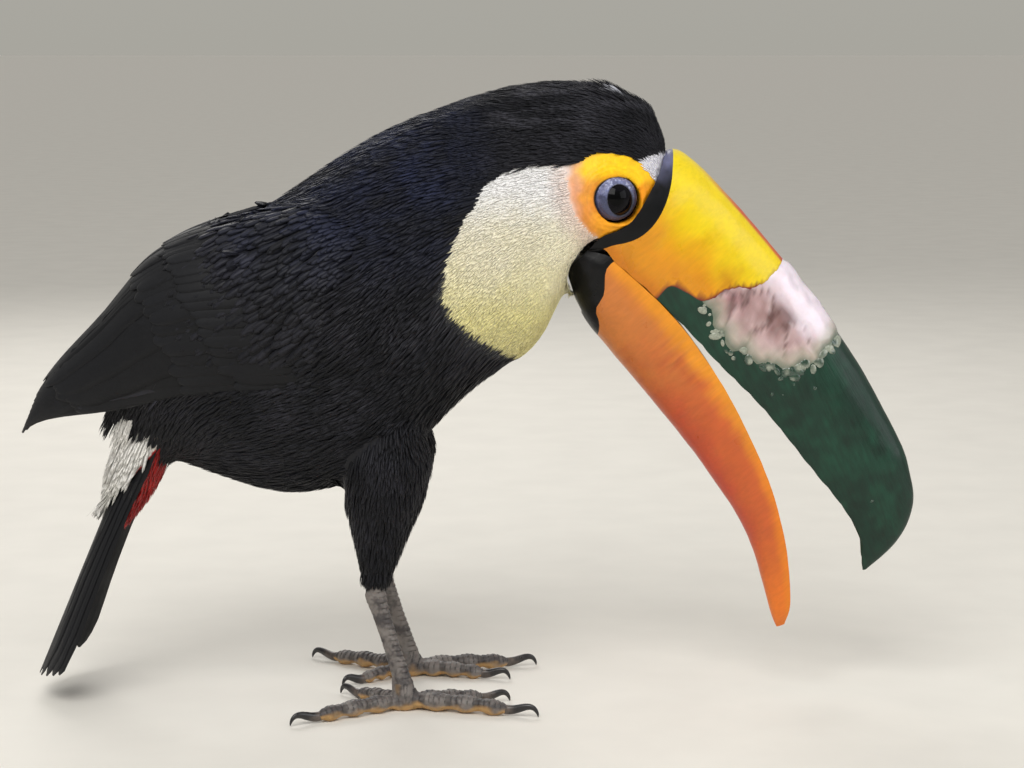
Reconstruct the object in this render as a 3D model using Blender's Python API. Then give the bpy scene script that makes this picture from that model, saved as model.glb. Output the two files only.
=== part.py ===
"""A toco toucan with a printed bill tip, standing with its head bowed and its bill open, life size.

Metres, +Z up. The bird faces +X and its right side faces -Y. Most of it is lofted from stations given in
millimetres in the bird's plane of symmetry, and parted afterwards with thin cuts along the edges of its
markings.
"""

import math

import bmesh
import bpy
import numpy as np
from mathutils import Matrix, Vector

MM = 0.001
GAP = 0.3 * MM  # left between two pieces that touch
WELD = 0.004 * MM  # points closer than this are made one after a cut

# The flesh with its feathers, from the tail root to the face. Each station is a slice through the bird:
# x and z of its back, x and z of its belly, half its width, and how far its widest level lies above
# the middle.
BODY = (
    (-103, 118, -80, 102, 14, 0.0),  # tail root
    (-93, 145, -52, 92, 28, 0.0),  # rump
    (-75, 171, -26, 85, 39, 0.0),  # lower back and vent
    (-49, 195, 3, 90, 46, -0.05),  # middle of the back
    (-19, 216, 28, 105, 47, -0.05),  # shoulders and belly
    (9, 234, 48, 125, 43, -0.05),  # root of the neck and breast
    (33, 245, 64, 137, 36, -0.1),  # neck
    (57, 253.5, 74, 141.5, 32, -0.25),  # nape and throat
    (79, 257.5, 82, 153, 29.5, -0.35),  # back of the crown
    (100, 257, 86, 163, 27, -0.25),  # crown
    (117, 251.5, 90.5, 170, 25, -0.1),  # brow
    (126.5, 243, 92.5, 167, 23, 0.0),  # forehead
    (132, 229, 97, 164, 21.5, 0.0),  # base of the bill
    (136.5, 219, 104, 162, 20, 0.0),  # inside the bill
)
FULLNESS = 0.84  # 1 makes every slice an ellipse, and less makes its back and belly fuller
BODY_RINGS = 25
BODY_SIDES = 20

# The bed on which the folded wings lie, from the shoulder to the wing tips, with the same kind of stations.
WING_BED = (
    (9, 231, 50, 128, 42, -0.05),
    (-19, 216, 36, 112, 48, -0.05),
    (-54, 203, 6, 103, 47, 0.0),
    (-79, 187, -30, 100, 41, 0.05),
    (-100, 162, -66, 100, 31, 0.1),
    (-125, 134, -98, 100, 20, 0.1),
    (-137, 112, -124, 103, 11, 0.1),
)

# The upper bill as it would be whole: x and z of the ridge, x and z of the cutting edge, and half the width.
UPPER_BILL = (
    (127, 226, 97, 190, 19.5),
    (134, 228, 105, 190, 20),
    (141, 224, 110, 183, 20),
    (154.5, 211, 122, 172, 19),
    (168, 196, 138, 156, 17.5),
    (181, 180.5, 151, 142, 16),
    (202, 153, 169, 124, 13.5),
    (221, 122, 191, 97, 10.5),
    (233, 95, 208, 75.5, 7.5),
    (235, 80, 213, 66, 5.2),
    (228, 64, 214, 57, 3),
    (216, 52.5, 214.3, 52.2, 0.8),
)
UPPER_RINGS = 17
WIDEST_LEVEL = 0.32  # of the bill's depth, above the cutting edge

# The lower bill: x and z of the keel, x and z of the cutting edge, and half the width.
LOWER_BILL = (
    (89.5, 179, 98, 188, 15.5),
    (91.5, 172.5, 108, 185, 17),
    (96, 160.5, 117.5, 176, 17),
    (109, 144, 130, 164, 16.5),
    (129, 120, 150, 138, 14.5),
    (147, 97, 165, 111, 12),
    (165, 69, 177, 81.5, 9),
    (174, 41.5, 183, 50, 5.5),
    (177.5, 31, 182.5, 34.5, 3.5),
    (179.5, 28, 180.5, 28.8, 1),
)
LOWER_RINGS = 13

# Edges of the markings and of the pieces of the bill, seen from the side, x and z.
FACE_EDGE = (
    (133, 240), (132, 228), (128.5, 214), (121.5, 204), (113.5, 196),
    (105.5, 191.5), (98, 188), (92, 182.5), (90.5, 176.5), (92, 170), (96, 162),
)
BAND_WIDTH_TOP, BAND_WIDTH_MIDDLE = 3.5, 8  # black band at the base of the upper bill
LOWER_BAND_EDGE = ((112, 186), (106, 181), (104.5, 169.5), (101.5, 163), (103, 158), (102, 148))
BREAK_EDGE = (
    (184, 190), (178.5, 183), (173.5, 177.5), (167, 173), (156, 172.5), (144.5, 167.5),
    (138, 171), (131.5, 173.5), (126.5, 168.5), (118, 158),
)
CEMENT_EDGE = (
    (144.5, 167.5), (149.5, 159), (154, 151), (163, 145), (177, 140), (190, 141.5), (199, 149), (208, 158),
)
BIB = (
    (92, 222.5), (84.5, 223), (74, 222.5), (62, 219), (55, 214), (50.5, 206), (44, 194), (39.5, 182),
    (37, 173), (40, 161), (49, 150.5), (62, 143.5), (72, 138), (88, 134), (106, 150), (112, 170),
)
NECK_TO_HEAD = ((52, 262), (54, 235), (56, 210))
TRUNK_TO_NECK = ((-12, 250), (14, 195), (44, 166), (90, 158))
ORBIT = (
    (93, 222), (98, 225.5), (105, 226.3), (113, 225), (119.5, 221), (124.5, 215.5), (126, 211.5),
    (121.5, 204), (113.5, 196), (105.5, 191.5), (99, 196.5), (94, 203), (91.5, 210), (91, 217),
)
WING_REACH = (0.03, 1.0)  # share of the wing bed that the folded wing covers
WING_BEND = 0.2  # share of the wing that is the round bend in front
WING_UPPER_EDGE = (27, 4)  # degrees from the middle of the back, in front and from the rump on
WING_LOWER_EDGE = (118, 104)
WING_THICKNESS = (4.6, 2.2)
FLIGHT_FEATHERS = (
    (-150, 260), (-96, 260), (-62, 196), (-40, 172), (-22, 146), (-4, 122), (8, 104), (20, 80), (-150, 80),
)
BARE_SKIN_DEPTH = 12.5  # from the bird's middle to the back of the bare skin round each eye

EYE = (109.5, 208.5)  # x and z of its middle
EYE_RADIUS = 8.6
EYE_OUT = 17.4  # from the bird's middle to the middle of the eyeball
LID_RADIUS = 9.3
LID_OPENING = (4.8, 6.4)  # half its width and height
EYE_LOOKS_FORWARD = math.radians(8)

TROUGH_FLOOR = 0.62  # of the lower bill's depth, above the keel
TROUGH_RISE = 0.22  # from the middle of the trough to its sides
TONGUE_LENGTH = 0.62  # share of the lower bill
TONGUE_HALF_WIDTH = 5.2
TONGUE_THICKNESS = 1.8

TAIL_ROOT = (-84, 119)
TAIL_SLOPE = math.radians(67)
TAIL_LENGTH = 134
TAIL_HALF_WIDTH = (13, 30)  # at the root and at its widest
TAIL_THICKNESS = 4.2
TAIL_ARCH = 13

FOOT_X = 23  # under the weight of the bird
FOOT_Y = 27
ANKLE = (-12, 24, 47)  # x behind the foot, y and z
KNEE = (-5, 21.5, 124)  # the top of the thigh, x from the foot, y and z
THIGH_RADIUS = 20.5
# For each toe: its name, heading from straight ahead (turning outwards), length and thickness, and its
# claw's length.
TOES = (
    ("inner_front", -13, 31, 3.4, 12.5),
    ("outer_front", 15, 42, 3.7, 14),
    ("outer_back", 148, 38, 3.5, 13.5),
    ("inner_back", -142, 23, 3.0, 11),
)

COLOURS = {  # red, green, blue and roughness
    "plumage_black": (0.010, 0.011, 0.016, 0.55),
    "plumage_white": (0.80, 0.78, 0.60, 0.8),
    "plumage_red": (0.45, 0.03, 0.02, 0.8),
    "orbital_skin": (0.90, 0.48, 0.03, 0.5),
    "eyelid_blue": (0.13, 0.16, 0.32, 0.45),
    "eye": (0.012, 0.010, 0.012, 0.05),
    "bill_black": (0.012, 0.012, 0.014, 0.35),
    "bill_yellow": (0.88, 0.47, 0.02, 0.3),
    "bill_orange": (0.82, 0.27, 0.05, 0.3),
    "cement": (0.68, 0.52, 0.50, 0.45),
    "printed_plastic": (0.010, 0.060, 0.035, 0.4),
    "tongue": (0.25, 0.16, 0.15, 0.5),
    "leg_skin": (0.20, 0.21, 0.23, 0.6),
    "claw": (0.020, 0.018, 0.018, 0.35),
}


def material_of(name):
    """The Principled material of that name, made the first time it is asked for."""
    if name in bpy.data.materials:
        return bpy.data.materials[name]
    made = bpy.data.materials.new(name)
    made.use_nodes = True
    shader = made.node_tree.nodes["Principled BSDF"]
    red, green, blue, roughness = COLOURS[name]
    shader.inputs["Base Color"].default_value = (red, green, blue, 1)
    shader.inputs["Roughness"].default_value = roughness
    return made


def along(stations, count, start=0.0, end=1.0):
    """A smooth curve through the rows of numbers, read at count places evenly spaced along its length."""
    rows = np.array(stations, float)
    steps = np.linalg.norm(np.diff(rows[:, :2], axis=0), axis=1)
    if rows.shape[1] >= 4:
        steps = (steps + np.linalg.norm(np.diff(rows[:, 2:4], axis=0), axis=1)) / 2
    place = np.concatenate([[0], np.cumsum(steps)])
    slope = np.gradient(rows, place, axis=0)
    found = []
    for at in np.linspace(start, end, count) * place[-1]:
        i = min(int(np.searchsorted(place, at, side="right")) - 1, len(rows) - 2)
        span = place[i + 1] - place[i]
        t = (at - place[i]) / span
        found.append(
            (2 * t**3 - 3 * t**2 + 1) * rows[i]
            + (t**3 - 2 * t**2 + t) * span * slope[i]
            + (3 * t**2 - 2 * t**3) * rows[i + 1]
            + (t**3 - t**2) * span * slope[i + 1]
        )
    return found


def mesh_object(name, points, faces, material):
    """An object from points in millimetres, with its faces turned outwards."""
    mesh = bpy.data.meshes.new(name)
    mesh.from_pydata([tuple(c * MM for c in p) for p in points], [], faces)
    shaped = bmesh.new()
    shaped.from_mesh(mesh)
    bmesh.ops.triangulate(shaped, faces=shaped.faces)
    bmesh.ops.recalc_face_normals(shaped, faces=shaped.faces)
    if shaped.calc_volume(signed=True) < 0:
        bmesh.ops.reverse_faces(shaped, faces=shaped.faces)
    shaped.to_mesh(mesh)
    shaped.free()
    mesh.materials.append(material_of(material))
    made = bpy.data.objects.new(name, mesh)
    bpy.context.scene.collection.objects.link(made)
    return made


def loft(name, rings, material):
    """A closed skin over rings of equally many points, with a flat cap at each end."""
    size = len(rings[0])
    faces = [list(range(size)), [(len(rings) - 1) * size + i for i in range(size)]]
    for ring in range(len(rings) - 1):
        for i in range(size):
            j = (i + 1) % size
            faces.append([ring * size + i, ring * size + j, (ring + 1) * size + j, (ring + 1) * size + i])
    return mesh_object(name, [p for ring in rings for p in ring], faces, material)


def applied(target, modifier_type, **settings):
    """Gives the object a modifier, and keeps its result as the object's own mesh."""
    modifier = target.modifiers.new(modifier_type.title(), modifier_type)
    for key, value in settings.items():
        setattr(modifier, key, value)
    bpy.context.view_layer.update()
    graph = bpy.context.evaluated_depsgraph_get()
    result = bpy.data.meshes.new_from_object(target.evaluated_get(graph))
    target.modifiers.clear()
    shaped = bmesh.new()
    shaped.from_mesh(result)
    bmesh.ops.remove_doubles(shaped, verts=shaped.verts, dist=WELD)
    bmesh.ops.dissolve_degenerate(shaped, edges=shaped.edges, dist=WELD)
    bmesh.ops.triangulate(shaped, faces=shaped.faces)
    shaped.to_mesh(result)
    shaped.free()
    target.data = result
    return target


def boolean(target, other, operation):
    """Cuts the object with another, or keeps what is inside it. The other is used up."""
    applied(target, "BOOLEAN", object=other, operation=operation, solver="EXACT")
    bpy.data.objects.remove(other)
    return target


def without_crumbs(target):
    """Keeps the largest body of the object, and drops the crumbs that a cut has left loose."""
    shaped = bmesh.new()
    shaped.from_mesh(target.data)
    bodies, seen = [], set()
    for first in shaped.verts:
        if first in seen:
            continue
        body, waiting = [], [first]
        seen.add(first)
        while waiting:
            vert = waiting.pop()
            body.append(vert)
            for edge in vert.link_edges:
                near = edge.other_vert(vert)
                if near not in seen:
                    seen.add(near)
                    waiting.append(near)
        bodies.append(body)
    bodies.sort(key=len)
    bmesh.ops.delete(shaped, geom=[v for body in bodies[:-1] for v in body], context="VERTS")
    shaped.to_mesh(target.data)
    shaped.free()
    return target


def copy_of(source, name):
    made = source.copy()
    made.data = source.data.copy()
    made.name = name
    bpy.context.scene.collection.objects.link(made)
    return made


def grown(source, by=GAP):
    """A copy of the object with its surface moved outwards."""
    made = copy_of(source, source.name + "_grown")
    shaped = bmesh.new()
    shaped.from_mesh(made.data)
    shaped.normal_update()
    moves = [v.normal * by * min(v.calc_shell_factor(), 2.0) for v in shaped.verts]
    for v, move in zip(shaped.verts, moves):
        v.co += move
    shaped.to_mesh(made.data)
    shaped.free()
    return made


def clear_of(target, *others):
    """Cuts the object back to a gap from each of the others."""
    for other in others:
        boolean(target, grown(other), "DIFFERENCE")
    return without_crumbs(target)


def prism(outline, reach=(-80, 80), grow=0.0):
    """The outline in x and z, moved outwards by grow and drawn out along Y over reach."""
    points = np.array(outline, float)
    turn = np.roll(points, -1, axis=0)
    area = (points[:, 0] * turn[:, 1] - turn[:, 0] * points[:, 1]).sum()
    ahead = turn - points
    ahead /= np.linalg.norm(ahead, axis=1, keepdims=True)
    out = np.stack([ahead[:, 1], -ahead[:, 0]], axis=1) * np.sign(area)
    corner = out + np.roll(out, 1, axis=0)
    corner /= np.maximum((corner * out).sum(axis=1, keepdims=True), 0.4)
    points = points + corner * grow
    rings = [[(x, y, z) for x, z in points] for y in reach]
    return loft("prism", rings, "plumage_black")


def mirrored(source, name):
    """The same piece on the bird's other side."""
    made = copy_of(source, name)
    made.data.transform(Matrix.Scale(-1, 4, Vector((0, 1, 0))))
    made.data.flip_normals()
    return made


def split_off(whole, outline, name, material, reach=(-80, 80)):
    """Parts what lies inside the outline from the whole by a thin cut, and returns it as a piece."""
    piece = copy_of(whole, name)
    boolean(piece, prism(outline, reach), "INTERSECT")
    boolean(whole, prism(outline, reach, grow=GAP / MM), "DIFFERENCE")
    piece.data.materials.clear()
    piece.data.materials.append(material_of(material))
    return piece


def slice_at(bed, at, angle, out=0.0):
    """The point of a slice through the bird at an angle from its back, moved outwards by out."""
    back_x, back_z, belly_x, belly_z, half_width, level = bed[at]
    rise = np.array([back_x - belly_x, back_z - belly_z]) / 2
    depth = np.linalg.norm(rise)
    lift = math.cos(angle) + level * math.sin(angle) ** 2
    middle = np.array([back_x + belly_x, back_z + belly_z]) / 2
    x, z = middle + rise / depth * (depth + out) * lift
    return x, (half_width + out) * math.copysign(abs(math.sin(angle)) ** FULLNESS, math.sin(angle)), z


# ---------------------------------------------------------------- head, bib, neck and trunk

def body_whole():
    """The feathered flesh from the tail root to the face, before it is parted."""
    stations = along(BODY, BODY_RINGS)
    angles = [2 * math.pi * i / BODY_SIDES for i in range(BODY_SIDES)]
    rings = [[slice_at(stations, at, a) for a in angles] for at in range(BODY_RINGS)]
    return loft("trunk", rings, "plumage_black")


def ahead_of(edge, far=320):
    """An edge, closed into an outline by going round in front of the bird."""
    (top_x, top_z), (low_x, low_z) = edge[0], edge[-1]
    return [*edge, (low_x, -20), (far, -20), (far, 320), (top_x, 320)]


# ---------------------------------------------------------------- bill

def across_slice(low, high, half_width, outline):
    """The points of a slice from shares of its half width and of the way from its low to its high point."""
    points = []
    for y, v in outline:
        x, z = low + (high - low) * v
        points.append((x, half_width * y, z))
    return points


def upper_ring(ridge_x, ridge_z, edge_x, edge_z, half_width, grow=0.0):
    """One slice of the upper bill: a tall dome down to the cutting edges, with a shallow palate."""
    edge = np.array([edge_x, edge_z])
    ridge = np.array([ridge_x, ridge_z])
    up = (ridge - edge) / max(np.linalg.norm(ridge - edge), 1e-6)
    ridge, edge, wide = ridge + up * grow, edge - up * grow, half_width + grow
    dome = [math.pi * (i / 8 - 0.5) for i in range(9)]
    outline = [(0.84, 0.0), (0.95, 0.14)]
    for a in dome:
        level = WIDEST_LEVEL + (1 - WIDEST_LEVEL) * math.cos(a)
        outline.append((math.copysign(abs(math.sin(a)) ** 0.85, -a), level))
    outline += [(-0.95, 0.14), (-0.84, 0.0), (-0.66, 0.05), (0, 0.10), (0.66, 0.05)]
    return across_slice(edge, ridge, wide, outline)


def lower_ring(keel_x, keel_z, edge_x, edge_z, half_width):
    """One slice of the lower bill: a round keel, cutting edges and a trough between them."""
    keel, edge = np.array([keel_x, keel_z]), np.array([edge_x, edge_z])
    bowl = [math.pi * (i / 6 - 0.5) for i in range(7)]
    wall = TROUGH_FLOOR + TROUGH_RISE * 0.62
    outline = [(math.sin(a), 0.72 * (1 - math.cos(a))) for a in bowl]
    outline += [(0.97, 1.0), (0.84, 0.99), (0.62, wall), (0, TROUGH_FLOOR)]
    outline += [(-0.62, wall), (-0.84, 0.99), (-0.97, 1.0)]
    return across_slice(keel, edge, half_width, outline)


def bill_band_edge():
    """The front edge of the black band round the base of the upper bill."""
    upper = np.array(FACE_EDGE[:7], float)
    ahead = np.gradient(upper, axis=0)
    ahead /= np.linalg.norm(ahead, axis=1, keepdims=True)
    out = np.stack([-ahead[:, 1], ahead[:, 0]], axis=1)
    share = np.sin(np.linspace(0, math.pi, len(upper)))[:, None]
    return upper + out * (BAND_WIDTH_TOP + (BAND_WIDTH_MIDDLE - BAND_WIDTH_TOP) * share)


def upper_bill():
    """The upper bill in its four pieces: black base band, yellow stump, cement and printed tip."""
    stations = along(UPPER_BILL, UPPER_RINGS)
    stump = loft("bill_upper", [upper_ring(*row) for row in stations], "bill_yellow")
    cement = loft("bill_cement", [upper_ring(*row, grow=0.9) for row in stations], "cement")
    boolean(stump, prism(ahead_of(FACE_EDGE), grow=-GAP / MM), "INTERSECT")
    printed = copy_of(stump, "bill_prosthesis")
    front = prism(ahead_of(BREAK_EDGE))
    boolean(stump, prism(ahead_of(BREAK_EDGE), grow=GAP / MM), "DIFFERENCE")
    boolean(printed, front, "INTERSECT")
    joint = [*BREAK_EDGE[:6], *CEMENT_EDGE[1:], (200, 200)]
    boolean(cement, prism(joint), "INTERSECT")
    boolean(printed, prism(joint, grow=GAP / MM), "DIFFERENCE")
    printed.data.materials.clear()
    printed.data.materials.append(material_of("printed_plastic"))
    band_edge = [tuple(p) for p in bill_band_edge()]
    band = [(90, 260), (150, 260), *band_edge, *FACE_EDGE[6:], (80, 160), (80, 250)]
    base = split_off(stump, band, "bill_upper_band", "bill_black")
    return stump, base, cement, printed


def lower_bill(upper_pieces):
    """The lower bill in its two pieces, clear of the upper one at the gape, with the tongue in its trough."""
    stations = along(LOWER_BILL, LOWER_RINGS)
    bill = loft("bill_lower", [lower_ring(*row) for row in stations], "bill_orange")
    boolean(bill, prism(ahead_of(FACE_EDGE), grow=-GAP / MM), "INTERSECT")
    tongue_rings = []
    steps = 8
    for i, row in enumerate(along(LOWER_BILL, steps, 0.14, TONGUE_LENGTH)):
        keel, edge = row[:2], row[2:4]
        half = TONGUE_HALF_WIDTH * (1 - 0.8 * (i / (steps - 1)) ** 2)
        up = (edge - keel) / np.linalg.norm(edge - keel)
        ring = []
        for side, thick in ((-1, 0), (0, 0), (1, 0), (1, 0.5), (0, 1), (-1, 0.5)):
            floor = keel + (edge - keel) * (TROUGH_FLOOR + TROUGH_RISE * abs(side) * half / row[4])
            x, z = floor + up * (2 * GAP / MM + TONGUE_THICKNESS * thick)
            ring.append((x, side * half, z))
        tongue_rings.append(ring)
    loft("tongue", tongue_rings, "tongue")
    clear_of(bill, *upper_pieces)
    base = [(80, 200), (112, 200), *LOWER_BAND_EDGE, (80, 148)]
    split_off(bill, base, "bill_lower_band", "bill_black")
    return bill


# ---------------------------------------------------------------- eyes

def ball(name, radius, steps, rings, material):
    """A sphere with its poles on Y."""
    points = [(0, -radius, 0), (0, radius, 0)]
    faces = []
    for k in range(1, rings):
        b = math.pi * k / rings
        for i in range(steps):
            a = 2 * math.pi * i / steps
            r = radius * math.sin(b)
            points.append((r * math.cos(a), -radius * math.cos(b), r * math.sin(a)))
    for i in range(steps):
        j = (i + 1) % steps
        faces.append([0, 2 + i, 2 + j])
        for k in range(rings - 2):
            near, far = 2 + k * steps, 2 + (k + 1) * steps
            faces.append([near + i, far + i, far + j, near + j])
        last = 2 + (rings - 2) * steps
        faces.append([1, last + j, last + i])
    return mesh_object(name, points, faces, material)


def lid_ring():
    """The bare ring of lid, bearing on the eyeball all round an upright oval opening."""
    steps = 16
    inside = EYE_RADIUS + GAP / MM
    points, faces = [], []
    for i in range(steps):
        turn = 2 * math.pi * i / steps
        wide, tall = LID_OPENING[0] * math.cos(turn), LID_OPENING[1] * math.sin(turn)
        opening = math.asin(math.hypot(wide, tall) / inside)
        rim = math.asin(min(LID_RADIUS / inside, 0.98)) * 0.9
        profile = [(inside, rim), (inside, (opening + rim) / 2), (inside, opening)]
        profile += [(inside + 1.1, opening + 0.1), (inside + 0.75, (opening + rim) / 2 + 0.1)]
        way = math.atan2(tall, wide)
        ring = [(out * math.sin(lean), -out * math.cos(lean)) for out, lean in profile]
        ring += [(LID_RADIUS, -inside * math.cos(rim) - 0.9), (LID_RADIUS, -inside * math.cos(rim) + 2.5)]
        points += [(r * math.cos(way), y, r * math.sin(way)) for r, y in ring]
    count = len(points) // steps
    for i in range(steps):
        j = (i + 1) % steps
        for k in range(count):
            m = (k + 1) % count
            faces.append([i * count + k, i * count + m, j * count + m, j * count + k])
    return mesh_object("eyelid_right", points, faces, "eyelid_blue")


def right_eye(orbital_skin, head):
    """The eyeball and its blue ring of lid on the right side, in round sockets cut on both sides."""
    middle = Matrix.Translation(Vector((EYE[0], -EYE_OUT, EYE[1])) * MM)
    set_in = middle @ Matrix.Rotation(EYE_LOOKS_FORWARD, 4, "Z")
    eye = ball("eye_right", EYE_RADIUS, 12, 8, "eye")
    lid = lid_ring()
    wide = LID_RADIUS + GAP / MM
    turns = [2 * math.pi * (k + 0.5) / 14 for k in range(14)]
    rings = [[(wide * math.cos(a), y, wide * math.sin(a)) for a in turns] for y in (-30, EYE_RADIUS + 0.5)]
    socket = loft("socket", rings, "eye")
    for piece in (eye, lid, socket):
        piece.data.transform(set_in)
    boolean(orbital_skin, copy_of(socket, "skin_socket"), "DIFFERENCE")
    boolean(head, mirrored(socket, "socket_left"), "DIFFERENCE")
    boolean(head, socket, "DIFFERENCE")
    return eye, lid


# ---------------------------------------------------------------- wings and tail

def folded_wing(name, material, rows=10, columns=6):
    """A shell lying on the wing bed, thickest in the middle, round in front and pointed behind."""
    stations = along(WING_BED, rows + 1, *WING_REACH)
    outer, inner = [], []
    for i in range(rows + 1):
        u = i / rows
        blunt = math.sqrt(max(1 - max(0, 1 - u / WING_BEND) ** 2, 0.02))
        point = math.sqrt(max(1 - max(0, (u - 0.62) / 0.38) ** 2.2, 0.012))
        edges = (WING_UPPER_EDGE, WING_LOWER_EDGE)
        upper, lower = (math.radians(front + (back - front) * min(u / 0.6, 1)) for front, back in edges)
        lower = upper + (lower - upper) * point
        middle, half = (upper + lower) / 2, (lower - upper) / 2 * blunt
        thick = WING_THICKNESS[0] + (WING_THICKNESS[1] - WING_THICKNESS[0]) * u
        thick *= 0.3 + 0.7 * blunt * point
        for k in range(columns + 1):
            across = 2 * k / columns - 1
            puff = 0.18 + 0.82 * math.sqrt(max(1 - across**2, 0))
            angle = middle + half * across
            outer.append(slice_at(stations, i, -angle, thick * puff))
            inner.append(slice_at(stations, i, -angle, -thick * puff * 0.7))
    width = columns + 1
    count = len(outer)
    faces = []
    for i in range(rows):
        for k in range(columns):
            a = i * width + k
            quad = [a, a + 1, a + width + 1, a + width]
            faces += [quad, [count + c for c in reversed(quad)]]
    rim = [*range(width), *(i * width + columns for i in range(1, rows + 1))]
    rim += range(rows * width + columns - 1, rows * width - 1, -1)
    rim += [i * width for i in range(rows - 1, 0, -1)]
    for a, b in zip(rim, [*rim[1:], rim[0]]):
        faces.append([b, a, count + a, count + b])
    return mesh_object(name, outer + inner, faces, material)


def wings(*flesh):
    """The folded wings bedded in the flesh, each parted into coverts in front and flight feathers behind."""
    wing = folded_wing("wing_right", "plumage_black")
    other_wing = mirrored(wing, "wing_left")
    for piece in flesh:
        clear_of(piece, wing, other_wing)
    bpy.data.objects.remove(other_wing)
    flight = split_off(wing, FLIGHT_FEATHERS, "flight_feathers_right", "plumage_black")
    return [wing, flight, mirrored(wing, "wing_left"), mirrored(flight, "flight_feathers_left")]


def tail_point(length, across, up):
    """A point of the tail: so far from its root, so far to the left and so far above its sheet."""
    x = TAIL_ROOT[0] - math.cos(TAIL_SLOPE) * length - math.sin(TAIL_SLOPE) * up
    z = TAIL_ROOT[1] - math.sin(TAIL_SLOPE) * length + math.cos(TAIL_SLOPE) * up
    return x, across, z


def tail():
    """Ten overlapping tail feathers as one arched sheet, a little shorter at its sides."""
    rows, columns = 6, 8
    rings = []
    for i in range(rows + 1):
        u = i / rows
        spread = math.sin(math.pi / 2 * min(u / 0.85, 1))
        half = TAIL_HALF_WIDTH[0] + (TAIL_HALF_WIDTH[1] - TAIL_HALF_WIDTH[0]) * spread
        top, low = [], []
        for k in range(columns + 1):
            side = 2 * k / columns - 1
            length = TAIL_LENGTH * u * (1 - 0.12 * side**2 * u) - 12
            arch = -TAIL_ARCH * side**2
            thick = TAIL_THICKNESS / 2 * (0.22 + 0.78 * math.cos(math.pi / 2 * side)) * (1 - 0.55 * u)
            top.append(tail_point(length, half * side, arch + thick))
            low.append(tail_point(length, half * side, arch - thick))
        rings.append(top + low[::-1])
    return loft("tail", rings, "plumage_black")


def tail_coverts(name, side, length, half_width, depth, material):
    """The soft feathers over (side 1) or under (side -1) the tail root."""
    steps = 6
    rings = []
    for i in range(steps + 1):
        u = i / steps
        size = math.sqrt(max(1 - u**2.2, 0.01))
        ring = []
        for k in range(12):
            a = 2 * math.pi * k / 12
            up = side * depth * size * (0.6 + math.sin(a))
            ring.append(tail_point(-16 + (length + 16) * u, half_width * size * math.cos(a), up))
        rings.append(ring)
    return loft(name, rings, material)


# ---------------------------------------------------------------- legs

def limb(name, spine, radii, material, sides=10, floor=False):
    """A round limb along a spine. radii are (sideways, fore and aft) at each of its points."""
    points = [Vector(p) for p in spine]
    rings = []
    for i, p in enumerate(points):
        run = points[min(i + 1, len(points) - 1)] - points[max(i - 1, 0)]
        run.normalize()
        across = run.cross(Vector((0, 0, 1)) if abs(run.z) < 0.8 else Vector((1, 0, 0))).normalized()
        over = across.cross(run)
        wide, deep = radii[i]
        ring = []
        for k in range(sides):
            a = 2 * math.pi * (k + 0.5) / sides
            q = p + across * wide * math.cos(a) + over * deep * math.sin(a)
            ring.append((q.x, q.y, max(q.z, 0.0) if floor else q.z))
        rings.append(ring)
    return loft(name, rings, material)


def right_thigh():
    """The feathered shank, from a rounded top under the belly feathers to just above the ankle."""
    top, low = Vector((FOOT_X + KNEE[0], -KNEE[1], KNEE[2])), Vector((FOOT_X + ANKLE[0], -ANKLE[1], ANKLE[2]))
    shape = ((0, 0.35), (0.08, 0.72), (0.28, 1), (0.5, 0.85), (0.74, 0.54), (0.93, 0.31), (1, 0.25))
    spine = [top.lerp(low, u) for u, size in shape]
    radii = [(THIGH_RADIUS * 0.85 * size, THIGH_RADIUS * size) for u, size in shape]
    return limb("thigh_right", spine, radii, "plumage_black", sides=10)


def right_tarsus():
    """The bare shank below the ankle, with the ball of the foot flat on the floor."""
    ankle = Vector((FOOT_X + ANKLE[0], -ANKLE[1], ANKLE[2]))
    ball_top = Vector((FOOT_X, -FOOT_Y, 9))
    spine = [ankle + Vector((0, 0, 5)), ankle, ankle.lerp(ball_top, 0.14), ankle.lerp(ball_top, 0.5),
             ankle.lerp(ball_top, 0.85), Vector((FOOT_X, -FOOT_Y, 6)), Vector((FOOT_X, -FOOT_Y, 2.5)),
             Vector((FOOT_X, -FOOT_Y, 0))]
    radii = [(3.2, 3.2), (4.0, 4.6), (3.1, 3.7), (2.7, 3.4), (3.2, 3.7), (5.4, 5.2), (6.4, 6.4), (5.2, 5.2)]
    return limb("tarsus_right", spine, radii, "leg_skin", sides=8)


def right_toe(name, heading, length, thickness, claw_length, foot_so_far):
    """One toe flat on the floor with pads under its joints, and its hooked claw."""
    turn = math.radians(heading)
    ahead = Vector((math.cos(turn), -math.sin(turn), 0))
    root = Vector((FOOT_X, -FOOT_Y, 0)) + ahead * 2.0
    steps = 8
    spine, radii = [], []
    for i in range(steps):
        u = i / (steps - 1)
        pad = 1 + 0.1 * math.cos(math.pi * i)
        size = thickness * (1 - 0.22 * u) * pad * (0.72 if i in (0, steps - 1) else 1)
        height = thickness * (0.86 - 0.16 * u) + 0.9 * math.sin(math.pi * u)
        spine.append(root + ahead * length * u + Vector((0, 0, height)))
        radii.append((size * 1.08, size))
    toe = limb("toe_right_" + name, spine, radii, "leg_skin", sides=8, floor=True)
    clear_of(toe, *foot_so_far)
    claw_root = spine[-1] + ahead * 2 * GAP / MM
    claw_steps = 5
    spine, radii = [], []
    for i in range(claw_steps):
        u = i / (claw_steps - 1)
        hook = math.sin(math.pi * 0.5 * u) * 0.92
        rise = 2.2 * math.sin(math.pi * u * 0.9) ** 2 - (claw_root.z - 0.4) * u**2
        spine.append(claw_root + ahead * claw_length * hook + Vector((0, 0, rise)))
        size = 2.0 * (1 - 0.86 * u)
        radii.append((size * 0.8, size * 1.15))
    claw = limb("claw_right_" + name, spine, radii, "claw", sides=6, floor=True)
    return toe, claw


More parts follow.
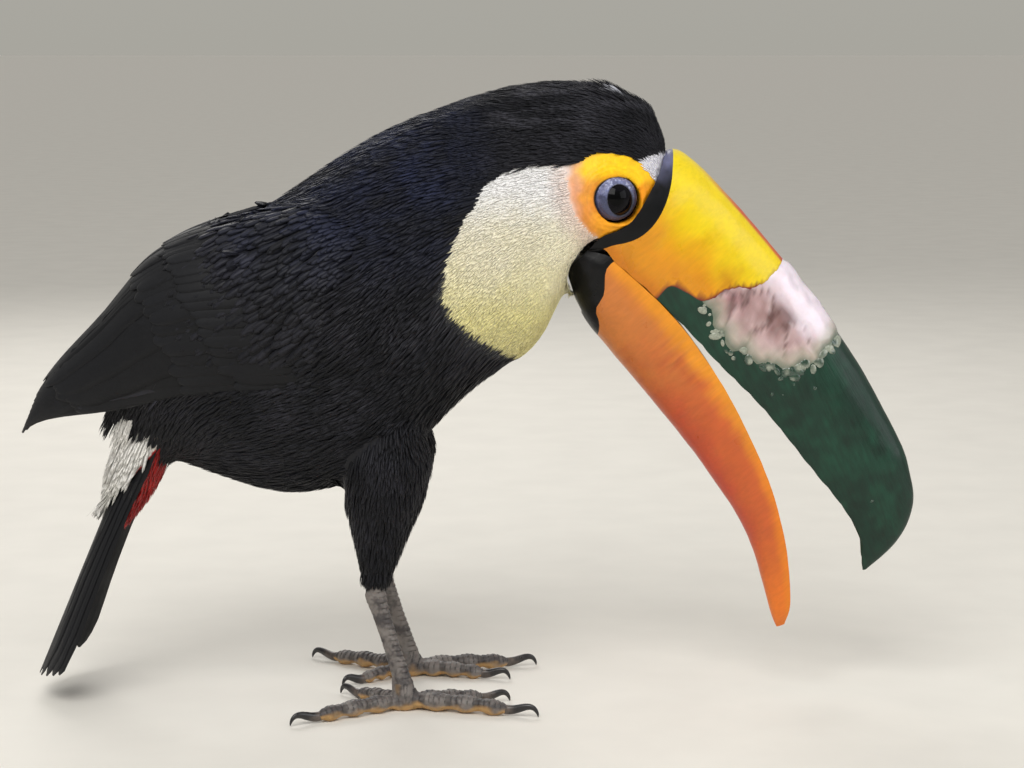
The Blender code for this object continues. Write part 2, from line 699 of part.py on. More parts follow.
# ---------------------------------------------------------------- the whole bird

def finish():
    """Shades the round pieces smooth, and sets the bird over its origin with its feet on the floor."""
    pieces = list(bpy.data.objects)
    corners = np.array([v.co[:] for piece in pieces for v in piece.data.vertices])
    low, high = corners.min(axis=0), corners.max(axis=0)
    to_origin = Matrix.Translation((-(low[0] + high[0]) / 2, -(low[1] + high[1]) / 2, -low[2]))
    for piece in pieces:
        piece.data.transform(to_origin)
        piece.data.shade_smooth()
        piece.data.set_sharp_from_angle(angle=math.radians(38))


def build():
    for old in list(bpy.data.objects):
        bpy.data.objects.remove(old)
    trunk = body_whole()
    boolean(trunk, prism(ahead_of(FACE_EDGE)), "DIFFERENCE")
    split_off(trunk, BIB, "bib", "plumage_white")
    ahead_of_neck = [*TRUNK_TO_NECK, (200, 158), (200, 300), (-12, 300)]
    neck = split_off(trunk, ahead_of_neck, "neck", "plumage_black")
    ahead_of_nape = [*NECK_TO_HEAD, (58, 200), (160, 180), (160, 290), (52, 290)]
    head = split_off(neck, ahead_of_nape, "head", "plumage_black")
    skin = split_off(head, ORBIT, "orbital_skin_right", "orbital_skin", (-60, -BARE_SKIN_DEPTH))
    other_skin = split_off(head, ORBIT, "orbital_skin_left", "orbital_skin", (BARE_SKIN_DEPTH, 60))
    bpy.data.objects.remove(other_skin)
    eye, lid = right_eye(skin, head)
    mirrored(skin, "orbital_skin_left")
    mirrored(eye, "eye_left")
    mirrored(lid, "eyelid_left")

    lower_bill(upper_bill())

    folded = wings(trunk, neck)
    sheet = tail()
    over = tail_coverts("tail_coverts_upper", 1, 42, 17, 7, "plumage_white")
    under = tail_coverts("crissum", -1, 54, 20, 12, "plumage_red")
    clear_of(trunk, sheet, over, under)
    clear_of(over, sheet, under, *folded)
    clear_of(under, sheet)

    thigh = right_thigh()
    tarsus = right_tarsus()
    clear_of(thigh, tarsus)
    other_thigh = mirrored(thigh, "thigh_left")
    mirrored(tarsus, "tarsus_left")
    clear_of(trunk, thigh, other_thigh)
    foot = [tarsus]
    for name, heading, length, thickness, claw_length in TOES:
        toe, claw = right_toe(name, heading, length, thickness, claw_length, foot)
        foot.append(toe)
        mirrored(toe, toe.name.replace("right", "left"))
        mirrored(claw, claw.name.replace("right", "left"))

    finish()


build()
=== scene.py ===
"""The looks of a toco toucan with a printed bill tip, standing with its head bowed and its bill open."""

import math

import bmesh
import bpy
import numpy as np
from mathutils import Matrix, Vector
from mathutils.bvhtree import BVHTree
from mathutils.kdtree import KDTree


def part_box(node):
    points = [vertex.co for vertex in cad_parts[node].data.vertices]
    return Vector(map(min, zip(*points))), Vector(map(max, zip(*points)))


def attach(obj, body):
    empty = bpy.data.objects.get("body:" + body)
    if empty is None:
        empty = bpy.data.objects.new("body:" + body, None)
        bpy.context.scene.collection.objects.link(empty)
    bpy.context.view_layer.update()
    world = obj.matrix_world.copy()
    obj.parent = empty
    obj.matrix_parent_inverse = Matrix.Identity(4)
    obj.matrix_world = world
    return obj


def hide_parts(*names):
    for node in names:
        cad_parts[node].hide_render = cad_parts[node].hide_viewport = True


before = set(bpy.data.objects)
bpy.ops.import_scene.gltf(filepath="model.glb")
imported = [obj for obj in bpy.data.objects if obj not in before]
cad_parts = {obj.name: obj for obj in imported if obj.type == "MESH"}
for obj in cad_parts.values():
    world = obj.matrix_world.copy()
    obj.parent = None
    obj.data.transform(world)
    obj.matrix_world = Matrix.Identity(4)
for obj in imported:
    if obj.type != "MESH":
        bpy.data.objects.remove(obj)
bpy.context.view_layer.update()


# ================================================================ upper bill
# The horn of the upper bill, hollow and light in life, grown forward from the face and broken off halfway.
# Its base is a black band against the face, with a painted reflection along its top. The rest is yellow,
# amber along the cutting edge, with a thin red line on the ridge.

MM = 0.001
EYE_AT = (109.5, 17.4, 208.5)  # the middle of each eyeball: ahead, out to the side and up
low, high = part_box("eye_right")
SHIFT = np.array(((low.x + high.x) / 2 / MM - EYE_AT[0], 0.0, 0.0))  # from the bird's own millimetres

# x and z of the ridge, x and z of the cutting edge, and half the width.
UPPER_BILL = (
    (127, 226, 97, 190, 19.5), (134, 228, 105, 190, 20), (141, 224, 110, 183, 20), (154.5, 211, 122, 172, 19),
    (168, 196, 138, 156, 17.5), (181, 180.5, 151, 142, 16), (202, 153, 169, 124, 13.5),
    (221, 122, 191, 97, 10.5), (233, 95, 208, 75.5, 7.5), (235, 80, 213, 66, 5.2), (228, 64, 214, 57, 3),
    (216, 52.5, 214.3, 52.2, 0.8),
)
RIDGE, CUTTING_EDGE = [row[0:2] for row in UPPER_BILL], [row[2:4] for row in UPPER_BILL]
FACE_EDGE = (
    (133, 240), (129.8, 228), (125.6, 216.5), (121.4, 208.8), (118, 203), (114.6, 199), (110, 196.2),
    (104, 194), (98, 188), (92, 182.5), (90.5, 176.5), (92, 170), (96, 162),
)
BAND_FRONT = (
    (135, 240), (133, 229), (132.4, 222), (131.6, 215), (129.6, 208), (126.5, 201.5), (122.6, 196.6),
    (118.4, 193.4), (113.4, 191.4), (108, 190.2), (103, 188),
)
BREAK_EDGE = (
    (184, 190), (178.5, 183), (173.5, 177.5), (167, 173), (156, 172.5), (144.5, 167.5),
    (138, 171), (131.5, 173.5), (126.5, 168.5), (118, 158),
)
WIDEST_LEVEL = 0.32


def smooth_rows(rows, count, start=0.0, end=1.0):
    """A smooth curve through the rows of numbers, read at count places evenly spaced along its length."""
    rows = np.array(rows, float)
    steps = np.linalg.norm(np.diff(rows[:, :2], axis=0), axis=1)
    if rows.shape[1] >= 4:
        steps = (steps + np.linalg.norm(np.diff(rows[:, 2:4], axis=0), axis=1)) / 2
    place = np.concatenate([[0], np.cumsum(steps)])
    slope = np.gradient(rows, place, axis=0)
    at = np.linspace(start, end, count) * place[-1]
    i = np.clip(np.searchsorted(place, at, side="right") - 1, 0, len(rows) - 2)
    span = (place[i + 1] - place[i])[:, None]
    t = ((at - place[i])[:, None]) / span
    return (
        (2 * t**3 - 3 * t**2 + 1) * rows[i] + (t**3 - 2 * t**2 + t) * span * slope[i]
        + (3 * t**2 - 2 * t**3) * rows[i + 1] + (t**3 - t**2) * span * slope[i + 1]
    )


def swept(rows, outline):
    """Rings of points: each row gives a high and a low point and half a width, the outline shares of them."""
    high, low, half = rows[:, None, 0:2], rows[:, None, 2:4], rows[:, None, 4]
    y, v = outline[None, :, 0], outline[None, :, 1]
    flat = low + (high - low) * v[..., None]
    return np.stack([flat[..., 0], half * y, flat[..., 1]], axis=-1)


def upper_outline(fine=40):
    """Across the upper bill: cutting edge, domed side over the ridge to the other side, shallow palate."""
    t = np.linspace(0, 1, 7)[:, None]
    side = (1 - t) ** 2 * (0.84, 0) + 2 * t * (1 - t) * (0.99, 0.1) + t**2 * (1.0, WIDEST_LEVEL)
    a = math.pi * (np.linspace(0, 1, fine + 1) - 0.5)
    aside = -np.sign(a) * np.abs(np.sin(a)) ** 0.85
    dome = np.stack([aside, WIDEST_LEVEL + (1 - WIDEST_LEVEL) * np.cos(a)], axis=1)
    y = np.linspace(-0.84, 0.84, 11)[1:-1]
    palate = np.stack([y, 0.1 * (1 - (y / 0.84) ** 2)], axis=1)
    return np.concatenate([side[:-1], dome, (side * (-1, 1))[::-1][1:], palate])


def lumps(points, size, seed=0):
    """Smooth random heights between -1 and 1 at the points, with lumps of about that size."""
    at = points / size + seed * 17.31
    cell = np.floor(at).astype(np.int64)
    part = at - cell
    part = part * part * (3 - 2 * part)
    total = np.zeros(len(points))
    for corner in np.ndindex(2, 2, 2):
        c = cell + corner
        mixed = (c[:, 0] * 73856093) ^ (c[:, 1] * 19349663) ^ (c[:, 2] * 83492791)
        mixed = (mixed ^ (mixed >> 13)) * 1274126177
        mixed = (mixed ^ (mixed >> 16)) & 0xFFFFFF
        weight = np.prod(np.where(np.array(corner) == 1, part, 1 - part), axis=1)
        total += weight * (mixed / 0x7FFFFF - 1)
    return total


def away_from(line, points):
    """How far each point is from an open line, seen from the side, and how far along it that is, 0 to 1."""
    corners, x, z = np.array(line, float), points[:, 0], points[:, 2]
    steps = np.linalg.norm(np.diff(corners, axis=0), axis=1)
    place = np.concatenate([[0], np.cumsum(steps)])
    nearest, where = np.full(len(x), 1e9), np.zeros(len(x))
    for i, length in enumerate(steps):
        ahead = (corners[i + 1] - corners[i]) / length
        t = np.clip((x - corners[i, 0]) * ahead[0] + (z - corners[i, 1]) * ahead[1], 0, length)
        gap = np.hypot(x - corners[i, 0] - t * ahead[0], z - corners[i, 1] - t * ahead[1])
        where = np.where(gap < nearest, (place[i] + t) / place[-1], where)
        nearest = np.minimum(nearest, gap)
    return nearest, where


def depth_in(outline, points):
    """How far each point lies inside the outline, seen from the side, and below zero how far outside it."""
    corners, x, z = np.array(outline, float), points[:, 0], points[:, 2]
    crossings = np.zeros(len(x), int)
    for (ax, az), (bx, bz) in zip(corners, np.roll(corners, -1, axis=0)):
        if az != bz:
            crossings += ((az > z) != (bz > z)) & (x < ax + (z - az) / (bz - az) * (bx - ax))
    gap = away_from(np.concatenate([corners, corners[:1]]), points)[0]
    return np.where(crossings % 2 == 1, gap, -gap)


def eased(t, start, end):
    """0 before start and 1 after end, with a soft change between them."""
    t = np.clip((t - start) / (end - start), 0, 1)
    return t * t * (3 - 2 * t)


def faces_of_rings(rings, size):
    """Four-sided faces between rings of points, and a fan's worth of corners at each end."""
    faces = [list(range(size))[::-1], [(rings - 1) * size + i for i in range(size)]]
    for r in range(rings - 1):
        for i in range(size):
            j = (i + 1) % size
            faces.append([r * size + i, r * size + j, (r + 1) * size + j, (r + 1) * size + i])
    return faces


def placed(name, data):
    """A new object in the scene, with its mesh, lamp or camera."""
    made = bpy.data.objects.new(name, data)
    bpy.context.scene.collection.objects.link(made)
    return made


def piece_of(name, points, faces):
    """A smooth piece from points in the bird's millimetres, with its faces turned outwards."""
    mesh = bpy.data.meshes.new(name)
    mesh.from_pydata(((points + SHIFT) * MM).tolist(), [], faces)
    shaped = bmesh.new()
    shaped.from_mesh(mesh)
    bmesh.ops.recalc_face_normals(shaped, faces=shaped.faces)
    if shaped.calc_volume(signed=True) < 0:
        bmesh.ops.reverse_faces(shaped, faces=shaped.faces)
    shaped.to_mesh(mesh)
    shaped.free()
    mesh.shade_smooth()
    return placed(name, mesh)


def twin(piece, name):
    """A second piece of the same shape."""
    return placed(name, piece.data.copy())


def read_rows(items, key, width, kind=np.float32):
    """What every point, edge or triangle of a mesh says, as rows of numbers."""
    flat = np.zeros(len(items) * width, kind)
    items.foreach_get(key, flat)
    return flat.reshape(-1, width)


def points_of(piece):
    """The points of a piece, in the bird's millimetres."""
    return read_rows(piece.data.vertices, "co", 3).astype(float) / MM - SHIFT


def normals_of(piece):
    return read_rows(piece.data.vertices, "normal", 3).astype(float)


def move_points(piece, points):
    piece.data.vertices.foreach_set("co", ((points + SHIFT) * MM).astype(np.float32).ravel())
    piece.data.update()


def kept_shape(piece):
    """Applies the piece's modifiers to its mesh."""
    bpy.context.view_layer.update()
    graph = bpy.context.evaluated_depsgraph_get()
    result = bpy.data.meshes.new_from_object(piece.evaluated_get(graph))
    piece.modifiers.clear()
    piece.data = result
    piece.data.shade_smooth()
    return piece


def cut(piece, other, operation):
    """Cuts the piece with another one, or keeps only what is inside it. The other is used up."""
    change = piece.modifiers.new("Cut", "BOOLEAN")
    change.object, change.operation, change.solver = other, operation, "EXACT"
    kept_shape(piece)
    bpy.data.objects.remove(other)
    piece.data.set_sharp_from_angle(angle=math.radians(42))
    return piece


def slab(outline, reach=60):
    """The outline, seen from the side, drawn out across the whole bird."""
    rings = [[(x, y, z) for x, z in outline] for y in (-reach, reach)]
    return piece_of("slab", np.array(rings).reshape(-1, 3), faces_of_rings(2, len(outline)))


def ahead_of(edge, far=320):
    """An edge, closed into an outline by going round in front of the bird."""
    return [*edge, (edge[-1][0], -20), (far, -20), (far, 320), (edge[0][0], 320)]


def paint(piece, colours):
    """Gives each point of the piece its own colour."""
    layer = piece.data.attributes.new("paint", "FLOAT_COLOR", "POINT")
    opaque = np.concatenate([colours, np.ones((len(colours), 1))], axis=1)
    layer.data.foreach_set("color", opaque.astype(np.float32).ravel())


def ink(red, green, blue):
    """A colour, given in the usual 0 to 255, as amounts of light."""
    c = np.array((red, green, blue), float) / 255
    return np.where(c <= 0.04045, c / 12.92, ((c + 0.055) / 1.055) ** 2.4)


def mixed(first, second, share):
    return first + (second - first) * np.asarray(share)[..., None]


def finish(name, **settings):
    """A material whose uniform values are set on its shader's own sockets."""
    made = bpy.data.materials.new(name)
    made.use_nodes = True
    shader = made.node_tree.nodes["Principled BSDF"]
    for socket, value in settings.items():
        shader.inputs[socket.replace("_", " ")].default_value = value
    return made, made.node_tree, shader


def node(tree, kind, inputs=None, **settings):
    """A shader node with its inputs set, or wired where the value is another node's output."""
    made = tree.nodes.new("ShaderNode" + kind)
    for key, value in settings.items():
        setattr(made, key, value)
    for socket, value in (inputs or {}).items():
        if isinstance(value, bpy.types.NodeSocket):
            tree.links.new(value, made.inputs[socket])
        else:
            made.inputs[socket].default_value = value
    return made


def spots(tree, size, detail=3.0, stretch=(1, 1, 1), turn=(0, 0, 0)):
    """Cloudy noise fixed to the piece, with spots of about that many millimetres."""
    place = node(tree, "TexCoord").outputs["Object"]
    turned = node(tree, "Mapping", {"Vector": place, "Rotation": turn}).outputs[0]
    drawn = node(tree, "Mapping", {"Vector": turned, "Scale": stretch}).outputs[0]
    return node(tree, "TexNoise", {"Vector": drawn, "Scale": 1 / (size * MM), "Detail": detail}).outputs["Fac"]


def ranged(tree, value, low, high, start=0.3, end=0.7):
    """Spreads a noise over a range of values."""
    inputs = {"Value": value, "From Min": start, "From Max": end, "To Min": low, "To Max": high}
    return node(tree, "MapRange", inputs).outputs[0]


def shaded(tree, colour, value):
    """The colour made darker or lighter by a value round 1."""
    inputs = {0: colour, "Scale": value}
    return node(tree, "VectorMath", inputs, operation="SCALE").outputs[0]


def blended(tree, share, first, second):
    """A mix of two colours."""
    made = node(tree, "Mix", {"Factor": share}, data_type="RGBA")
    for socket, value in ((6, first), (7, second)):
        if isinstance(value, bpy.types.NodeSocket):
            tree.links.new(value, made.inputs[socket])
        else:
            made.inputs[socket].default_value = (*value, 1)
    return made.outputs[2]


def painted(tree):
    return node(tree, "Attribute", attribute_name="paint").outputs["Color"]


def raised(tree, shader, *layers):
    """Wires relief into a shader. Each layer is a height, how strong it is and how deep, in millimetres."""
    normal = None
    for height, strength, depth in layers:
        inputs = {"Height": height, "Strength": strength, "Distance": depth * MM}
        if normal is not None:
            inputs["Normal"] = normal
        normal = node(tree, "Bump", inputs).outputs[0]
    tree.links.new(normal, shader.inputs["Normal"])


def grained(name, noises, tones, rough, relief, **settings):
    """A painted finish. Each noise has a size, a detail, a stretch and a turn. The rest point at a noise by
    its place, and say how far it changes the tone and the roughness, and how strong and deep it stands."""
    made, tree, shader = finish(name, **settings)
    noise = [spots(tree, *how) for how in noises]
    tints = [ranged(tree, noise[i], low, high) for i, low, high in tones]
    tint = tints[0]
    if len(tints) == 2:
        tint = node(tree, "Math", {0: tints[0], 1: tints[1]}, operation="MULTIPLY").outputs[0]
    tree.links.new(shaded(tree, painted(tree), tint), shader.inputs["Base Color"])
    tree.links.new(ranged(tree, noise[rough[0]], *rough[1:]), shader.inputs["Roughness"])
    raised(tree, shader, *[(noise[i], strength, depth) for i, strength, depth in relief])
    return made


def horn(name, gloss, relief=1.0, coat=0.2, level=0.4):
    """Keratin, with faint lengthwise grain, blotches and small pits."""
    return grained(
        name, ((1.1, 4, (1, 1, 0.09), (0, math.radians(-50), 0)), (9, 3), (0.5, 2)),
        ((0, 0.93, 1.05), (1, 0.93, 1.06)), (1, gloss - 0.07, gloss + 0.1),
        ((0, 0.16 * relief, 0.35), (2, 0.10 * relief, 0.18), (1, 0.2 * relief, 0.8)),
        Roughness=gloss, Coat_Weight=coat, Coat_Roughness=0.12, IOR=1.5, Specular_IOR_Level=level,
        Subsurface_Weight=0.06, Subsurface_Scale=0.002,
    )


def stand_in_for(piece, material, slot, *nodes):
    """Finishes a piece, and puts it on the bird in the place of the plain solids that it stands for."""
    piece.data.materials.clear()
    piece.data.materials.append(material)
    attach(piece, "root")
    if nodes:
        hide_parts(*nodes)
    return piece


def upper_whole(name, count=150, grow=None, relief=0.12, teeth=0.35):
    """The upper bill as it would be whole, with rubbed-down growth rings and low teeth along its cutting edge,
    swollen by grow where that is given."""
    outline, rows = upper_outline(), smooth_rows(UPPER_BILL, count)
    rings = swept(rows, outline)
    edge = np.exp(-((outline[:, 1] / 0.05) ** 2)) * (np.abs(outline[:, 0]) > 0.7)
    run = np.linspace(0, 19, count)[:, None]
    notch = teeth * (np.abs((run % 1) - 0.5) * 2) ** 2 * edge[None, :]
    up = rows[:, 0:2] - rows[:, 2:4]
    up /= np.maximum(np.linalg.norm(up, axis=1, keepdims=True), 0.1)
    rings[..., 0] += up[:, None, 0] * notch
    rings[..., 2] += up[:, None, 1] * notch
    points = rings.reshape(-1, 3)
    whole = piece_of(name, points, faces_of_rings(count, len(outline)))
    swell = relief * (lumps(points, 7, 1) + 0.5 * lumps(points, 2.6, 2))
    if grow is not None:
        swell = swell + grow(points)
    move_points(whole, points + normals_of(whole) * swell[:, None])
    return whole


def flare(points):
    """How much the base of the horn flares out over the face."""
    ahead = depth_in(ahead_of(FACE_EDGE), points)
    return (0.25 + 1.5 * eased(216 - points[:, 2], 0, 10)) * (1 - eased(ahead, 5, 16)) * eased(ahead, -9, -6)


break_line = smooth_rows(BREAK_EDGE, 80)
jag = np.arange(80)
jag = 0.3 * np.sin(0.9 * jag) + 0.22 * np.sin(2.3 * jag + 1)
break_line += np.stack([0 * jag, jag * eased(break_line[:, 0], 143, 150)], axis=1)
break_line = break_line.tolist()
stump = upper_whole("bill_upper_horn", grow=flare)
before_face = ahead_of(smooth_rows(FACE_EDGE, 40).tolist())
cut(stump, slab(before_face), "INTERSECT")
printed = twin(stump, "bill_printed_tip")
cut(stump, slab(ahead_of(break_line)), "DIFFERENCE")
band_outline = [
    (90, 260), (150, 260), *smooth_rows(BAND_FRONT, 30).tolist(), *FACE_EDGE[8:], (80, 160), (80, 250),
]
base_band = twin(stump, "bill_upper_base_band")
cut(base_band, slab(band_outline), "INTERSECT")
cut(stump, slab(band_outline), "DIFFERENCE")

YELLOW, AMBER, ORANGE, RED = ink(236, 208, 0), ink(222, 144, 2), ink(204, 102, 6), ink(204, 52, 10)
spot = points_of(stump)
from_ridge = away_from(RIDGE, spot)[0]
from_edge = away_from(CUTTING_EDGE, spot)[0]
from_break = away_from(break_line, spot)[0]
level = from_edge / (from_edge + from_ridge)
cloud = lumps(spot, 9, 3) * 0.6 + lumps(spot, 4, 4) * 0.4
colour = mixed(AMBER, YELLOW, eased(level + 0.14 * cloud, 0.28, 0.8))
colour = mixed(mixed(AMBER, ORANGE, 0.45), colour, eased(from_edge + 2 * cloud, 0.5, 8))
smudge = eased(cloud + 0.15 * lumps(spot, 2, 6), 0.0, 0.8) * (1 - eased(from_break, 2, 15))
smudge = smudge * (1 - eased(spot[:, 0], 160, 178))
colour = mixed(colour, mixed(ORANGE, ink(150, 62, 16), 0.35), 0.6 * smudge)
on_ridge = 1 - eased(from_ridge + 0.3 * cloud, 0.7, 1.9)
on_ridge = on_ridge * (1 - eased(np.abs(spot[:, 1]) + 0.6 * cloud, 5.5, 7.5))
colour = mixed(colour, RED, on_ridge * eased(spot[:, 0], 141, 162) * 0.95)
off_break = np.maximum(eased(from_break + 0.3 * cloud, 0.2, 0.9), 0.6 * eased(spot[:, 0], 166, 172))
colour = mixed(ink(112, 20, 22), colour, off_break)
paint(stump, colour)
stand_in_for(stump, horn("horn_yellow", 0.3), "bill_yellow", "bill_upper")

spot = points_of(base_band)
# Painted reflection: the top of the black band is painted lavender-grey in blotches, for the light on its gloss.
band_reflection = eased(spot[:, 2] + 4 * lumps(spot, 3, 5), 214, 228) * 0.75
paint(base_band, mixed(ink(7, 8, 11), ink(120, 122, 156), band_reflection))
black_horn = horn("horn_black", 0.34, 1.6, 0.05, 0.2)
stand_in_for(base_band, black_horn, "bill_black", "bill_upper_band")


# ================================================================ cement
# Dental resin cement, kneaded over the break to hold the printed tip. It is pale pink and cloudy, lumpy by
# hand, and thins out into clear beads at its lower border.

CEMENT_EDGE = (
    (144.5, 167.5), (149.5, 159), (154, 151), (163, 145), (177, 140), (190, 141.5), (199, 149), (208, 158),
)
low_edge = smooth_rows(CEMENT_EDGE, 46)
low_edge[2:] += np.array([
    (1.1 * math.sin(1.1 * i), math.cos(0.9 * i) + 0.7 * math.sin(2.1 * i)) for i in range(44)
])
joint = [*[p for p in break_line if p[0] >= 144.6], *low_edge.tolist(), (214, 168), (200, 200)]


def creases(points):
    """1 in the creases between the kneaded lumps of cement, 0 away from them."""
    return np.exp(-((lumps(points + 1.0 * lumps(points, 3, 18)[:, None], 8.5, 17) / 0.085) ** 2))


def cement_swell(points):
    """How thick the cement lies: thin at its border, lumpy between."""
    inside = depth_in(joint, points)
    knead = 1.0 + 0.42 * lumps(points, 6.5, 11) + 0.1 * lumps(points, 2.6, 12) - 0.6 * creases(points)
    return 0.1 + knead * eased(inside, 0.1, 3.5)


cement = upper_whole("bill_cement_collar", 190, cement_swell, teeth=0.0)
cut(cement, slab(joint), "INTERSECT")
spot = points_of(cement)
cloud = 0.6 * lumps(spot, 6, 13) + 0.4 * lumps(spot, 2.4, 14)
colour = mixed(ink(172, 138, 138), ink(208, 180, 180), eased(cloud, -0.4, 0.5))
# Painted highlight: the cement is painted lavender-white towards the ridge, where the light falls on it.
high = 1 - eased(away_from(RIDGE, spot)[0] + 4 * cloud, 6, 17)
colour = mixed(colour, ink(240, 226, 238), high)
near = lambda x, z, first, last: 1 - eased(np.hypot(spot[:, 0] - x, spot[:, 2] - z) + 4 * cloud, first, last)
colour = mixed(colour, ink(172, 108, 120), 0.7 * near(151, 164, 2, 11))
brown = near(175, 160, 1, 10)
colour = mixed(colour, ink(112, 72, 68), 0.75 * brown)
# Painted shade: the creases between the lumps are painted dark brown, less so towards the lit ridge.
colour = mixed(colour, ink(84, 46, 44), creases(spot) * (0.75 - 0.6 * high))
near_low = away_from(low_edge, spot)[0]
colour = mixed(colour, ink(172, 168, 150), 0.75 * (1 - eased(near_low + 2 * cloud, 3, 9)))
colour = mixed(colour, ink(84, 102, 82), 0.85 * (1 - eased(near_low + 1.5 * cloud, 0.3, 3.6)))
paint(cement, colour)
cement_resin = grained(
    "cement_resin", ((3.5, 5), (0.7, 3)), ((0, 0.93, 1.05),), (1, 0.12, 0.26), ((0, 0.16, 0.8), (1, 0.06, 0.2)),
    Roughness=0.2, Coat_Weight=1.0, Coat_Roughness=0.08, IOR=1.52, Subsurface_Weight=0.15,
    Subsurface_Scale=0.002,
)
stand_in_for(cement, cement_resin, "cement", "bill_cement")


# ================================================================ printed tip
# The printed tip of dark green resin, fitted over the stump: it keeps fine print lines, scratches and low
# teeth along its cutting edge. Beads of clear glue stand where it meets the cement.

cut(printed, slab(ahead_of(break_line)), "INTERSECT")
cut(printed, slab(joint), "DIFFERENCE")
spot = points_of(printed)
from_ridge = away_from(RIDGE, spot)[0]
cloud = 0.5 * lumps(spot, 12, 21) + 0.5 * lumps(spot, 4, 22)
colour = mixed(ink(8, 40, 29), ink(15, 58, 42), eased(cloud, -0.5, 0.7))
colour = mixed(colour, ink(12, 40, 30), 0.6 * (1 - eased(from_ridge, 0.5, 6)))
paint(printed, colour)
resin_green = grained(
    "resin_green", (
        (0.8, 2, (0.06, 0.06, 1), (0, math.radians(-58), 0)),  # the print lines
        (1.6, 4, (1, 1, 0.12), (0, math.radians(25), 0)),  # scratches
        (5, 4),
    ), ((1, 0.82, 1.3), (2, 0.9, 1.12)), (1, 0.28, 0.55), ((0, 0.45, 0.3), (1, 0.35, 0.35), (2, 0.3, 0.7)),
    Roughness=0.32, Coat_Weight=0.2, Coat_Roughness=0.12, Specular_IOR_Level=0.3, IOR=1.5,
)
stand_in_for(printed, resin_green, "printed_plastic", "bill_prosthesis")


def dome_cap(radius, height, steps=10, rings=5):
    """A low round bead: points round the origin with Z up, and its faces."""
    points = [(0, 0, height)]
    for r in range(1, rings + 1):
        a = math.pi / 2 * r / rings
        for i in range(steps):
            turn, wide = 2 * math.pi * i / steps, radius * math.sin(a)
            points.append((wide * math.cos(turn), wide * math.sin(turn), height * math.cos(a)))
    points.append((0, 0, -0.5 * height))
    faces = [[0, 1 + i, 1 + (i + 1) % steps] for i in range(steps)]
    for r in range(rings - 1):
        a, b = 1 + r * steps, 1 + (r + 1) * steps
        faces += [[a + i, b + i, b + (i + 1) % steps, a + (i + 1) % steps] for i in range(steps)]
    last = 1 + (rings - 1) * steps
    faces += [[len(points) - 1, last + (i + 1) % steps, last + i] for i in range(steps)]
    return np.array(points, float), faces


chance = np.random.default_rng(7)
printed_faces = [tuple(f.vertices) for f in printed.data.polygons]
printed_skin = BVHTree.FromPolygons([tuple(p) for p in points_of(printed)], printed_faces)
bead_points, bead_faces = [], []
for i in range(190):
    side = -1 if i % 2 else 1
    x, z = low_edge[chance.integers(1, 45)] + chance.normal(0, 1.2, 2) + (0.1, -0.5)
    if i >= 170:
        x, z = (chance.uniform(172, 192), chance.uniform(128, 140)) if i < 186 else (216.6, 83)
    hit, normal, _, _ = printed_skin.ray_cast(Vector((x, side * 50, z)), Vector((0, -side, 0)))
    if hit is None or abs(hit.y) < 1:
        continue
    radius = chance.uniform(0.5, 1.9) if i < 170 else chance.uniform(0.3, 0.8)
    cap, faces = dome_cap(radius, radius * chance.uniform(0.25, 0.42))
    stretch = chance.uniform(0.8, 2.0)
    turn = normal.to_track_quat("Z", "Y").to_matrix() @ Matrix.Rotation(chance.uniform(0, 6.28), 3, "Z")
    cap = (np.array(turn) @ (cap * (stretch, 1, 1)).T).T + np.array(hit)
    start = sum(len(p) for p in bead_points)
    bead_points.append(cap)
    bead_faces += [[start + c for c in f] for f in faces]
beads = piece_of("bill_glue_beads", np.concatenate(bead_points), bead_faces)
spot = points_of(beads)
milky = eased(lumps(spot, 2.5, 23) + 0.3 * (spot[:, 2] - 142) / 6, -0.3, 0.8)
paint(beads, mixed(ink(30, 62, 46), ink(150, 156, 140), milky))
clear_glue = grained(
    "glue_clear", ((0.8, 3),), ((0, 0.75, 1.15),), (0, 0.05, 0.2), ((0, 0.15, 0.2),),
    Roughness=0.1, Coat_Weight=1.0, Coat_Roughness=0.03, IOR=1.5,
)
stand_in_for(beads, clear_glue, "cement")


# ================================================================ lower bill and tongue
# The lower bill is one trough of horn, orange to red along the keel and yellow along the cutting edges, with
# a black base. Old growth wrinkles run slantwise over its sides. The tongue lies in the trough.

LOWER_BILL = (
    (89.5, 179, 98, 188, 15.5), (91.5, 172.5, 108, 185, 17), (96, 160.5, 117.5, 176, 17),
    (109, 144, 130, 164, 16.5), (129, 120, 150, 138, 14.5), (147, 97, 165, 111, 12), (165, 69, 177, 81.5, 9),
    (174, 41.5, 183.2, 50, 5.5), (176.9, 31.4, 183.4, 35, 3.8), (178.6, 28, 181.8, 29.2, 1.4),
)
KEEL, LOWER_EDGE = [row[0:2] for row in LOWER_BILL], [row[2:4] for row in LOWER_BILL]
LOWER_BAND_EDGE = ((112, 186), (106, 181), (104.5, 169.5), (101.5, 163), (103, 158), (102, 148))
TROUGH_FLOOR, TROUGH_RISE = 0.62, 0.22


def wrinkles(points):
    """How high the old growth wrinkles stand, -1 to 1: they cross the side of the bill in its first half."""
    run = away_from(KEEL, points)[1]
    wave = np.sin(2 * math.pi * 38 * run + 1.6 * lumps(points, 9, 31) + 0.8 * lumps(points, 3.5, 37))
    share = np.exp(-(((run - 0.34) / 0.13) ** 2)) * eased(lumps(points, 7, 38), -0.7, 0.3)
    return (np.abs(wave) ** 0.6 * np.sign(wave)) * share


